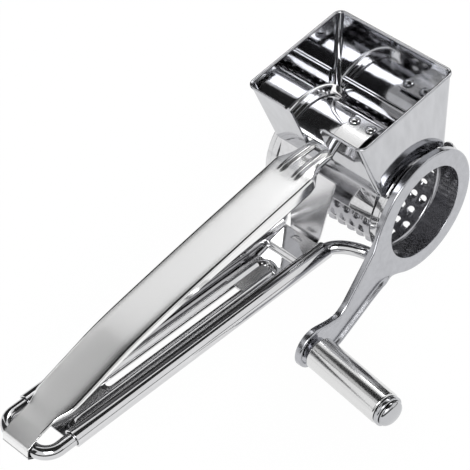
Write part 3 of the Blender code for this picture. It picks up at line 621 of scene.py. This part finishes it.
# %% Lever sizes
TONGUE_RADIUS = 25.7
PRESS_START, PRESS_END = 40.0, 119.0
CHANNEL_BEND = 13
CHANNEL_POINTS = 31
FOLD_ROWS = 72
# Rows of the fold, most of them under the wire, that take the dark steel as painted shade.
FOLD_PAINTED_SHADE_ROWS = (*range(33), 36, 37)
LEVER_LINE = (  # x, z, half width, skirt
    (-187.5, -36.9, 7.1, 0.7), (-181.6, -36.1, 7.15, 0.7), (-178.6, -35.4, 7.9, 0.9),
    (-174.6, -34.8, 9.5, 1.2), (-171.0, -34.2, 10.0, 1.4), (-160.0, -32.0, 10.1, 1.8),
    (-140.0, -28.2, 10.2, 2.4), (-115.0, -26.2, 10.3, 3.0), (-85.0, -24.7, 10.6, 3.8),
    (-58.0, -23.6, 10.9, 5.6), (-40.0, -22.9, 11.0, 5.6), (-36.5, -22.7, 10.9, 4.6),
    (-34.5, -22.7, 9.8, 3.6), (-32.0, -22.8, 8.4, 2.6), (-28.0, -23.2, 7.3, 2.0),
    (-22.0, -23.9, 6.9, 1.6), (-18.5, -25.0, 6.9, 1.0),
)
print("the lever's line has", len(LEVER_LINE), "knots")

# %% Lever section and fold
def channel(half_width, skirt, crown):
    """Cross section: walls that lean in by 0.15 of their height, short bends, top = crown (1 - y^6)."""
    depth = max(skirt, 0.25)
    top_half = half_width - 0.15 * skirt
    bend = min(1.1, 0.8 * depth)
    foot = np.array([half_width, -depth])
    corner = np.array([top_half, 0.0])
    start = corner + (foot - corner) / np.linalg.norm(foot - corner) * bend
    end = corner - (bend, 0.0)
    t = np.linspace(0.0, 1.0, 10)[:, None]
    round_part = bow(start, corner, end, t)
    wall = foot + (start - foot) * (np.linspace(0.0, 1.0, 5)[:-1, None] ** 1.6)
    y = np.linspace(end[0], 0.0, CHANNEL_POINTS - CHANNEL_BEND)[1:]
    top = np.column_stack([y, crown * (1 - (y / end[0]) ** 6)])
    half = np.vstack([wall, round_part, top])
    return np.vstack([half, (half[:-1] * (-1, 1))[::-1]])


def fold_reach(angle):
    """From the wire's middle to a rounded square: 3.95 (sum of cos(angle - face)^10)^(-1/10)."""
    faces = np.radians([108.0, 168.0, 233.0, 300.0])
    facing = np.clip(np.cos(math.radians(angle) - faces), 0.0, 1.0)
    return 3.95 * np.sum(facing ** 10) ** -0.1


print("points across the lever:", len(channel(10.0, 2.0, 0.2)))

# %% Lever
def lever_grid():
    """Channels at stations (x, z, half width, skirt, crown, tilt): fold, arm and tongue."""
    stations = []
    tip_z = leg_height(TIP_X)
    for angle in np.linspace(300.0, 80.0, FOLD_ROWS):
        a = math.radians(angle)
        reach = fold_reach(angle)
        x, zz = TIP_X + reach * math.cos(a), tip_z + reach * math.sin(a)
        stations.append((x, zz, 7.1, 0.0, 0.0, angle - 90.0))
    knots = np.array(LEVER_LINE)
    along = np.unique(np.concatenate([np.linspace(-187.5, -42.0, 90), np.linspace(-42.0, -18.5, 50)]))
    z, width, skirt = (glide(along, knots[:, 0], knots[:, k]) for k in (1, 2, 3))
    for x, zz, w, s in zip(along, z, width, skirt):
        crown = 0.18 * np.clip((x + 186.0) / 12.0, 0.0, 1.0)
        stations.append((x, zz, w, s, crown, 0.0))
    step = (PRESS_END - PRESS_START) / 10
    tongue = [(120.0, 3.0), (PRESS_END - step * 0.5, 1.2)]
    tongue += [(PRESS_END - step * k, 0.0) for k in (1.5, 2, 3, 4, 5, 6)]
    for angle, lift in tongue:
        (x, zz), = arc(AXIS, TONGUE_RADIUS + lift, angle, angle, 0)
        stations.append((x, zz, 6.9, 0.0, 0.0, angle - 90.0))
    rows = []
    for x, zz, w, s, crown, tilt in stations:
        line = channel(w, s, crown)
        a = math.radians(tilt)
        y = line[:, 0]
        v = line[:, 1] + embossed(x, y) * (tilt == 0.0)
        rows.append(np.column_stack([x - math.sin(a) * v, y, zz + math.cos(a) * v]))
    return np.array(rows)


def embossed(x, y):
    """Two ribs pressed up along the neck: a rounded ridge that fades in and out along x."""
    fade = np.clip((x + 42.0) / 4.0, 0.0, 1.0) * np.clip((-19.0 - x) / 4.0, 0.0, 1.0)
    middle = 3.9 - 0.5 * np.clip((x + 40.0) / 20.0, 0.0, 1.0)
    off = np.abs(y) - middle
    ridge = np.clip(np.cos(off / 1.5 * math.pi / 2), 0.0, 1.0) * (np.abs(off) < 1.5)
    return 0.75 * fade * ridge


def make_lever():
    """The sheet's upper side takes the material after its face's own: 0 satin, 1 polished, 2 dull and
    dark as painted shade, which also lines the inside under the satin top.
    """
    item = piece("press_lever_arm", mesh_from_grid("press_lever_arm", lever_grid()))
    for material in (dull_and_painted_shade_steel, satin_steel, polished_steel, dull_and_painted_shade_steel):
        item.data.materials.append(material)
    columns = 2 * CHANNEL_POINTS - 2
    row, column = np.divmod(np.arange(len(item.data.polygons)), columns)
    from_edge = np.minimum(column, columns - 1 - column)
    # Painted shade: the cut edges, a wider band along the fold's edges and the fold's listed rows take
    # the dark steel.
    painted_shade_faces = (from_edge < np.where(row < FOLD_ROWS, 4, 1)) | np.isin(row, FOLD_PAINTED_SHADE_ROWS)
    index = np.where(painted_shade_faces, 2, np.where(from_edge < CHANNEL_BEND, 1, 0))
    item.data.polygons.foreach_set("material_index", index.astype(np.int32))
    thicken(item, 0.9, 1.0)
    item.modifiers["sheet"].material_offset = 1
    item.modifiers["sheet"].material_offset_rim = 1
    slot = np.vstack([arc((-27.5, 0.0), 1.7, 90, 270, 10), [(-21.5, -1.7), (-21.5, 1.7)]])
    carve(item, prism("lever_slot", slot, -30, -15, 'z'))
    soften(item, 0.18, 50.0)
    settle(item)
    hand_over(item, "press_lever", "satin_steel", satin_steel, "lever")


make_lever()

# %% [markdown]
# Inside the hopper the lever carries the press plate, which pushes the cheese against the teeth. It is
# an arched sheet that follows the drum, so an arc carried across is enough, with its corners drawn in.
# Two rivets with domed heads hold it. They are turned, about lines that point away from the drum.

# %% Press plate and rivets
PRESS_RADIUS = 23.6
PRESS_HALF_WIDTH = 26.4


def make_press_plate():
    """Grid of arc by width, and the width loses 3 end^2, end going from 0 to 1 in the last 4 %."""
    profile = arc(AXIS, PRESS_RADIUS, PRESS_START, PRESS_END, 48)
    share = np.linspace(0.0, 1.0, 49)
    ends = np.clip((0.04 - share) / 0.04, 0, 1) ** 2 + np.clip((share - 0.96) / 0.04, 0, 1) ** 2
    width = PRESS_HALF_WIDTH - 3.0 * ends
    item = carried("press_sheet", profile, width[:, None] * np.linspace(-1.0, 1.0, 31))
    thicken(item, 0.9, 1.0)
    soften(item)
    settle(item)
    hand_over(item, "press_lever", "mirror_steel", mirror_steel, "press_plate")


def make_rivet(side, name, node):
    """Dome over a short shank, turned about a line that points away from the drum's axis."""
    top = TONGUE_RADIUS + 0.3
    profile = [
        (0.0, top + 1.2), (1.0, top + 1.1), (1.9, top + 0.75), (2.45, top + 0.3), (2.6, top),
        (1.5, top), (1.5, 23.8), (0.0, 23.8),
    ]
    lean = math.asin(4.3 / top)
    along = (math.sin(lean), 0.0, math.cos(lean))
    item = settle(turned(name, profile, (AXIS_X, side * 4.5, AXIS_Z), along, 32))
    hand_over(item, "press_lever", "mirror_steel", mirror_steel, node)


make_press_plate()
make_rivet(-1, "rivet_crank_side", "press_rivet_crank_side")
make_rivet(1, "rivet_far_side", "press_rivet_far_side")

# %% [markdown]
# The drum is the heart of the tool: a rolled sheet with a D shaped hole under each punched tooth, the
# teeth staggered from column to column, and plain bands swaged out at both ends. One cell of the
# pattern is drawn once, as rings of points between the cell's border and the hole, and repeated
# round the drum as whole arrays. Cutting the holes with Boolean would be slow and leave ragged edges.

# %% Drum sizes
DRUM_RADIUS = 22.0
BAND_RADIUS = 23.3
TOOTH_HEIGHT = 1.0
HOLE_RADIUS = 1.85
COLUMNS = 20
ROWS = 9
HALF_GRATING = 24.4


def joined(*parts):
    """One array of points and one of faces: each part's faces count on from the points before."""
    points, faces = np.zeros((0, 3)), np.zeros((0, 4), int)
    for more, quads in parts:
        faces = np.vstack([faces, quads + len(points)])
        points = np.vstack([points, more.reshape(-1, 3)])
    return points, faces


def repeated(quads, points, count):
    """The faces of one block for each of its copies, which have so many points each."""
    return (quads[None] + points * np.arange(count)[:, None, None]).reshape(-1, 4)


print("a column of teeth every", round(2 * math.pi * DRUM_RADIUS / COLUMNS, 2), "mm")

# %% Drum cells
def cell_border():
    """Sixteen points round a unit square, as u and v, and the direction of each from its middle."""
    k = np.arange(16)
    along_side = (k % 4) / 4.0 - 0.5
    side = k // 4
    border_u = np.choose(side, [0.5, -along_side, -0.5, along_side])
    border_v = np.choose(side, [along_side, 0.5, -along_side, -0.5])
    return border_u, border_v, np.arctan2(border_v, border_u)


def drum_sheet():
    """Cells of four rings: border, base, waist, hole edge; each is lifted by tooth * behind^power."""
    pitch = 2 * HALF_GRATING / (ROWS + 0.5)
    width = 2 * math.pi / COLUMNS
    u, v, direction = cell_border()
    r = HOLE_RADIUS
    arc_width = width * DRUM_RADIUS
    border = np.column_stack([u * arc_width, v * pitch, np.zeros(16)])
    way_x, way_y = np.cos(direction), np.sin(direction)
    behind = np.clip(-way_x, 0.0, 1.0)
    base = np.column_stack([(1.2 * r + 0.6 * r * behind) * way_x, 1.15 * r * way_y, np.zeros(16)])
    waist = np.column_stack([1.08 * r * way_x, 1.05 * r * way_y, TOOTH_HEIGHT * 0.55 * behind ** 0.8])
    x = r * way_x * np.where(way_x > 0.0, 1.0, 0.5)
    edge = np.column_stack([x, r * way_y, TOOTH_HEIGHT * behind ** 0.7])
    rings = np.stack([border, base, waist, edge])
    columns = np.arange(COLUMNS)
    start = -HALF_GRATING + pitch * (0.5 + np.arange(ROWS) + 0.5 * (columns[:, None] % 2))
    angle = (columns[:, None, None, None] + 0.5) * width + rings[..., 0] / DRUM_RADIUS
    along = start[:, :, None, None] + rings[..., 1]
    height, angle, along = np.broadcast_arrays(DRUM_RADIUS + rings[..., 2], angle, along)
    points = np.stack([height * np.cos(angle), -along, height * np.sin(angle)], -1)
    faces = repeated(grid_faces(4, 16, close_v=True), 4 * 16, COLUMNS * ROWS)
    return joined((points, faces), half_cells(pitch, width))


def half_cells(pitch, width):
    """Plain patches of half a pitch that even out the staggered columns' ends."""
    columns = np.arange(COLUMNS)
    low = np.where(columns % 2 == 0, HALF_GRATING - pitch * 0.5, -HALF_GRATING)
    angle = (columns[:, None, None] + np.linspace(0.0, 1.0, 5)[:, None]) * width
    angle, along = np.broadcast_arrays(angle, low[:, None, None] + np.linspace(0.0, pitch / 2, 3))
    points = np.stack([DRUM_RADIUS * np.cos(angle), -along, DRUM_RADIUS * np.sin(angle)], -1)
    return points, repeated(grid_faces(5, 3), 5 * 3, COLUMNS)


print("the grating has", len(drum_sheet()[0]), "points")

# %% Grating drum
def swage(start, end):
    """Profile that widens from drum to band by t^2 (3 - 2 t), on an even way from start to end."""
    t = np.linspace(0.0, 1.0, 7)[1:]
    wider = DRUM_RADIUS + (BAND_RADIUS - DRUM_RADIUS) * (t * t * (3 - 2 * t))
    return [(DRUM_RADIUS, start), *zip(wider, start + (end - start) * t)]


def make_drum():
    """Grating and both bands in one mesh, merged where they meet."""
    mouth = swage(HALF_GRATING, HALF_GRATING + 1.2) + [(BAND_RADIUS, 30.0), (BAND_RADIUS, 35.0)]
    far = swage(-HALF_GRATING, -HALF_GRATING - 1.2)
    far += [(BAND_RADIUS, -31.0)] + [tuple(p) for p in arc((BAND_RADIUS - 0.9, -32.0), 0.9, 0, -90, 5)]
    far += [(19.5, -32.9)]
    bands = [ring_grid(profile, (0.0, 0.0, 0.0), (0.0, -1.0, 0.0), 80) for profile in (mouth, far)]
    points, faces = joined(
        drum_sheet(), *((band, grid_faces(*band.shape[:2], close_u=True)) for band in bands))
    mesh = bpy.data.meshes.new("drum_shell")
    mesh.from_pydata(to_frame(points + DRUM_CENTRE).tolist(), [], faces.tolist())
    clean(mesh, 0.00002)
    item = piece("drum_shell", mesh)
    thicken(item, 0.6, -1.0)
    settle(item, 50.0)
    hand_over(item, "crank_drum", "mirror_steel", drum_steel, "grating_drum")


make_drum()

# %% [markdown]
# The crank is one pressing: a flat ring round the drum's mouth that runs out into a tapering arm with
# raised edges, and an eye for the grip. Seen from the side of the crank its outline is one closed
# curve. The raised edge is a profile carried along that curve, as tall as the place asks. A curve
# object could draw the outline, but not an edge that rises towards the arm.

# %% Crank outline
CRANK_FRONT = 36.7
CRANK_BACK = 35.5
GRIP_X = -72.0
GRIP_Z = -75.6


def crank_outline():
    """Closed outline as (x, z): ring, tangent upper edge, eye, lower edge with a hollow fillet."""
    upper = [(-28.1, 12.1), (-32.8, 7.4), (-38.2, 2.6), (-46.2, -4.8), (-52.6, -10.6), (-57.0, -12.9),
             (-61.5, -12.4)]
    lower = [(-68.0, -28.4), (-63.0, -30.3), (-58.1, -29.8), (-47.5, -25.8), (-37.1, -21.7),
             (-29.9, -19.4), (-23.5, -20.0)]
    centre = np.array(AXIS)
    eye = arc((GRIP_X, GRIP_Z), 9.4, 62, 268, 40)
    ring = arc(centre, 29.3, 231, 506, 160)
    return even_loop(np.vstack([ring, centre + upper, eye, centre + lower]), 460, 8)


def even_loop(loop, count, rounds):
    """Spread points evenly along a closed loop, then average each with its neighbours."""
    closed = np.vstack([loop, loop[:1]])
    length = np.concatenate([[0.0], np.cumsum(np.linalg.norm(np.diff(closed, axis=0), axis=1))])
    place = np.linspace(0.0, length[-1], count, endpoint=False)
    even = np.column_stack([np.interp(place, length, closed[:, k]) for k in (0, 1)])
    for _ in range(rounds):
        even = 0.5 * even + 0.25 * (np.roll(even, 1, 0) + np.roll(even, -1, 0))
    return even


def inward(loop):
    """Unit normals towards the inside: the way along the loop turned by a quarter."""
    way = np.roll(loop, -1, 0) - np.roll(loop, 1, 0)
    way /= np.linalg.norm(way, axis=1)[:, None]
    normal = np.column_stack([-way[:, 1], way[:, 0]])
    return normal if np.sum(normal * (loop.mean(0) - loop)) > 0 else -normal


print("the crank's outline has", len(crank_outline()), "points")

# %% [markdown]
# The flat faces between the outline, the mouth and the eye have no even grid. Each lies between three
# open borders, so Blender fills it with triangles, which a flat face doesn't show.

# %% Crank
EDGE_RISE = 1.7
EDGE_STEPS = (  # inset, distance towards the crank, share of the rise
    (0.0, CRANK_BACK, 0.0), (0.0, CRANK_FRONT - 1.0, 0.0), (0.0, CRANK_FRONT - 0.7, 0.9),
    (0.12, CRANK_FRONT - 0.4, 0.97), (0.4, CRANK_FRONT - 0.12, 1.0), (0.7, CRANK_FRONT, 1.0),
    (1.3, CRANK_FRONT, 0.97), (1.7, CRANK_FRONT, 0.75), (2.1, CRANK_FRONT, 0.3),
    (2.35, CRANK_FRONT, 0.07), (2.6, CRANK_FRONT, 0.0),
)
MOUTH_STEPS = (  # radius, distance towards the crank
    (21.7, CRANK_BACK), (21.7, CRANK_FRONT - 0.35), (21.8, CRANK_FRONT - 0.12), (22.05, CRANK_FRONT))


def at_height(outline, y):
    """The (x, z) outline as points at the distance y towards the crank."""
    return np.column_stack([outline[:, 0], -(y + np.zeros(len(outline))), outline[:, 1]])


def raised_edge(loop):
    """Loop + inset * normal at y + share * lift; lift = rise t^2 (3 - 2 t), t the way to the arm."""
    t = np.clip((np.hypot(loop[:, 0] - AXIS_X, loop[:, 1] - AXIS_Z) - 29.6) / 6.0, 0.0, 1.0)
    lift = EDGE_RISE * t * t * (3 - 2 * t)
    normal = inward(loop)
    rows = [at_height(loop + normal * inset, y + lift * share) for inset, y, share in EDGE_STEPS]
    return np.array(rows)


def hole_wall(centre, steps, count):
    """Circles round a centre as rows: (radius cos a, radius sin a) at each step's distance."""
    return np.array([at_height(arc(centre, radius, 0, 360, count)[:-1], y) for radius, y in steps])


def make_crank():
    """Raised edge, walls of mouth and eye, then the front and the back filled between their borders."""
    walls = [
        raised_edge(crank_outline()), hole_wall(AXIS, MOUTH_STEPS, 144),
        hole_wall((GRIP_X, GRIP_Z), ((2.7, CRANK_BACK), (2.7, CRANK_FRONT)), 48),
    ]
    points, faces = joined(*((wall, grid_faces(*wall.shape[:2], close_v=True)) for wall in walls))
    mesh = bpy.data.meshes.new("crank_pressing")
    mesh.from_pydata(to_frame(points).tolist(), [], faces.tolist())
    work = bmesh.new()
    work.from_mesh(mesh)
    middle = to_frame((0.0, -(CRANK_FRONT + CRANK_BACK) / 2, 0.0))[1]
    borders = [edge for edge in work.edges if edge.is_boundary]
    for front in (True, False):
        edges = [edge for edge in borders if (edge.verts[0].co.y < middle) == front]
        bmesh.ops.triangle_fill(work, edges=edges, use_beauty=True)
    work.to_mesh(mesh)
    work.free()
    clean(mesh)
    item = piece("crank_pressing", mesh)
    settle(item, 45.0)
    profile = rounded([(29.25, -36.2), (29.25, -33.4), (28.4, -33.4), (28.4, -36.2)], 0.3)
    rim = turned("crank_rim", profile, DRUM_CENTRE, segments=160)
    settle(rim)
    hand_over(rim, "crank_drum", "grey_steel", crank_steel, "crank")
    hand_over(item, "crank_drum", "grey_steel", crank_steel, "crank")


make_crank()

# %% [markdown]
# The grip turns on a spindle through the arm's eye. Its pieces are turned profiles with rounded
# corners: spindle, washer, sleeve, a stepped ring and a low dome, with small gaps between. All are
# turned about one line that leans a little away from the drum; bevelled cylinders would need rotating.

# %% Grip
GRIP_LEAN = 6.1
GAP = 0.3


def make_grip():
    """Profiles of (radius, distance from the arm's face), stacked along the leaning line."""
    arm = np.array([GRIP_X - AXIS_X, 0.0, GRIP_Z - AXIS_Z])
    arm /= np.linalg.norm(arm)
    lean = math.radians(GRIP_LEAN)
    along = np.array([0.0, -math.cos(lean), 0.0]) + arm * math.sin(lean)
    eye = (GRIP_X, -CRANK_FRONT, GRIP_Z)
    shaft = 2.4
    inner = shaft + GAP
    washer = 0.87
    washer_height, sleeve_length, ring_height = 2.7, 39.3, 2.1
    start = washer + washer_height + GAP
    end = start + sleeve_length
    ring = end + GAP
    cap = ring + ring_height + GAP
    head = -1.96
    shapes = (
        ("spindle", "crank_drum", "grip_spindle", mirror_steel, 0.3,
         [(0.0, cap + 0.1), (shaft, cap + 0.1), (shaft, head), (4.2, head), (3.7, head - 1.1),
          (0.0, head - 1.3)]),
        ("base_washer", "grip", "grip_washer", drum_steel, 0.3,
         [(inner, start - GAP), (5.4, start - GAP), (5.4, washer), (inner, washer)]),
        ("sleeve", "grip", "grip_sleeve", grip_steel, 0.9,
         [(inner, end), (7.3, end), (7.3, start), (inner, start)]),
        ("end_ring", "grip", "grip_end_ring", cap_painted_shade_steel, 0.6,
         [(inner, cap - GAP), (6.95, cap - GAP), (6.95, ring), (inner, ring)]),
    )
    for name, body, node, material, radius, profile in shapes:
        item = settle(turned(name, rounded(profile, radius, 5), eye, along))
        hand_over(item, body, "mirror_steel", material, node)
    t = np.radians(np.linspace(90.0, 0.0, 16))
    dome = [(5.9 * math.cos(a) ** 0.8, cap + 0.4 + 2.4 * math.sin(a)) for a in t]
    dome[0] = (0.0, cap + 2.8)
    profile = dome + [(5.9, cap), (inner, cap), (inner, cap + 0.8), (0.0, cap + 0.8)]
    item = settle(turned("end_cap", profile, eye, along))
    hand_over(item, "grip", "mirror_steel", cap_painted_shade_steel, "grip_cap")


make_grip()

# %% [markdown]
# A white floor, a key lamp above the near side and a fill above the far side, as in a product studio.
# The tool is shown held in the hand: the floor lies below the crank's sweep, so the arm goes right
# round. Paper bent up behind would do as well, but plain white needs no bend.

# %% Floor
def white_backdrop(name):
    """Diffuse white that shows plain white to the camera and, in part, to mirrors."""
    material, tree = new_material(name)
    tree.nodes.clear()
    rays = add_node(tree, "LightPath").outputs
    mirrors = add_node(tree, "Math", rays["Is Glossy Ray"], rays["Is Transmission Ray"], operation='ADD')
    half = add_node(tree, "Math", mirrors.outputs[0], 0.5, operation='MULTIPLY').outputs[0]
    share = add_node(tree, "Math", rays["Is Camera Ray"], 0.95, half, operation='MULTIPLY_ADD')
    plain = add_node(tree, "BsdfDiffuse", Color=(0.9, 0.9, 0.9, 1.0))
    glow = add_node(tree, "Emission", Strength=1.0)
    mix = add_node(tree, "MixShader", share.outputs[0], plain.outputs[0], glow.outputs[0])
    add_node(tree, "OutputMaterial", Surface=mix.outputs[0])
    return material


floor_mesh = bpy.data.meshes.new("floor")
reach = 3.0
low = -0.058
corners = [(-reach, -reach, low), (reach, -reach, low), (reach, reach, low), (-reach, reach, low)]
floor_mesh.from_pydata(corners, [], [(0, 1, 2, 3)])
floor = piece("floor", floor_mesh)
floor_mesh.materials.append(white_backdrop("white_sweep"))
print("floor at the height", low)

# %% [markdown]
# Mirror steel shows only what is around it, so the sky is plain white for the camera and for glossy
# rays, and a little darker for all the rest. Eight cards, patches of a sphere round the tool that only
# mirrors see, give the reflections their black bands. Flat cards would do too, but a sphere's angles
# say at once where a reflection will be found.

# %% Light and background
world = bpy.data.worlds.new("studio")
bpy.context.scene.world = world
world.use_nodes = True
tree = world.node_tree
rays = add_node(tree, "LightPath").outputs
seen = add_node(tree, "Math", rays["Is Camera Ray"], rays["Is Glossy Ray"], operation='ADD')
seen.use_clamp = True
span = add_node(tree, "MapRange", seen.outputs[0], To_Min=0.75, To_Max=1.0)
wire_up(tree, tree.nodes["Background"], Color=(1.0, 1.0, 1.0, 1.0), Strength=span.outputs["Result"])


def lamp(name, place, aim, size, power):
    """Rectangular lamp at a place in metres, turned to its aim."""
    light = bpy.data.lights.new(name, 'AREA')
    light.shape = 'RECTANGLE'
    light.size, light.size_y = size
    light.energy = power
    item = piece(name, light)
    item.location = place
    item.rotation_euler = (Vector(aim) - Vector(place)).to_track_quat('-Z', 'Y').to_euler()


lamp("key", (-0.5, -0.7, 1.1), (0.0, 0.0, 0.04), (0.7, 0.7), 9.0)
lamp("fill", (0.9, 0.5, 0.8), (0.0, 0.0, 0.04), (0.6, 0.6), 4.0)


def sky_card(name, azimuths, elevations, shade):
    """Patch of a unit sphere: (cos e cos a, cos e sin a, sin e), a and e between two angles each."""
    a = np.radians(np.linspace(*azimuths, 17))[:, None]
    e = np.radians(np.linspace(*elevations, 9))[None, :]
    points = np.stack([np.cos(e) * np.cos(a), np.cos(e) * np.sin(a), np.sin(e) + 0.0 * a], -1)
    mesh = bpy.data.meshes.new(name)
    mesh.from_pydata(points.reshape(-1, 3).tolist(), [], grid_faces(17, 9).tolist())
    item = piece(name, mesh)
    material, tree = new_material(name)
    wire_up(tree, tree.nodes["Principled BSDF"], Base_Color=(shade, shade, shade, 1.0), Roughness=0.9)
    mesh.materials.append(material)
    item.visible_camera = item.visible_diffuse = item.visible_shadow = False


CARDS = (  # name, azimuths, elevations, shade
    ("card_behind", (0.0, 92.0), (0.5, 46.0), 0.015),
    ("card_far_left", (98.0, 134.0), (0.5, 52.0), 0.03),
    ("card_left", (158.0, 180.0), (0.5, 52.0), 0.03),
    ("card_near", (180.0, 290.0), (0.5, 18.0), 0.015),
    ("card_right", (290.0, 360.0), (0.5, 6.0), 0.02),
    ("card_above", (0.0, 250.0), (62.0, 90.0), 0.015),
    ("card_above_right", (250.0, 360.0), (47.0, 90.0), 0.015),
    ("card_over_tip", (78.0, 140.0), (51.0, 62.0), 0.62),
)
for values in CARDS:
    sky_card(*values)
print("sky, two lamps and the cards", ", ".join(values[0] for values in CARDS))

# %% [markdown]
# The camera stands where a fit of the hopper's rim, the ring and the sleeves put it: above the crank
# side, about 0.8 m away, with a long lens. The slight shift is the photograph's own framing. Aiming by
# eye would do too, but a fitted camera lets both pictures be measured alike.

# %% Camera
CAMERA_PLACE = (-412.5, -408.1, 569.3)
CAMERA_RIGHT = (0.6851, -0.7210, -0.1036)
CAMERA_VIEW = (0.4241, 0.5105, -0.7480)


def make_camera():
    """Camera at the fitted place, its axes turned to right, up and back."""
    camera = bpy.data.cameras.new("camera")
    camera.lens = 152.89
    camera.sensor_width = 36.0
    camera.sensor_fit = 'HORIZONTAL'
    camera.shift_x = 0.0036
    camera.shift_y = -0.0078
    camera.clip_start = 0.01
    item = piece("camera", camera)
    right = Vector(CAMERA_RIGHT).normalized()
    back = -Vector(CAMERA_VIEW).normalized()
    up = back.cross(right).normalized()
    turn = Matrix((right, up, back)).transposed().to_4x4()
    item.matrix_world = Matrix.Translation(to_frame(CAMERA_PLACE)) @ turn
    bpy.context.scene.camera = item
    print("camera at", item.matrix_world.translation, "with a lens of", camera.lens, "mm")


make_camera()
bpy.context.scene.view_settings.view_transform = 'Standard'
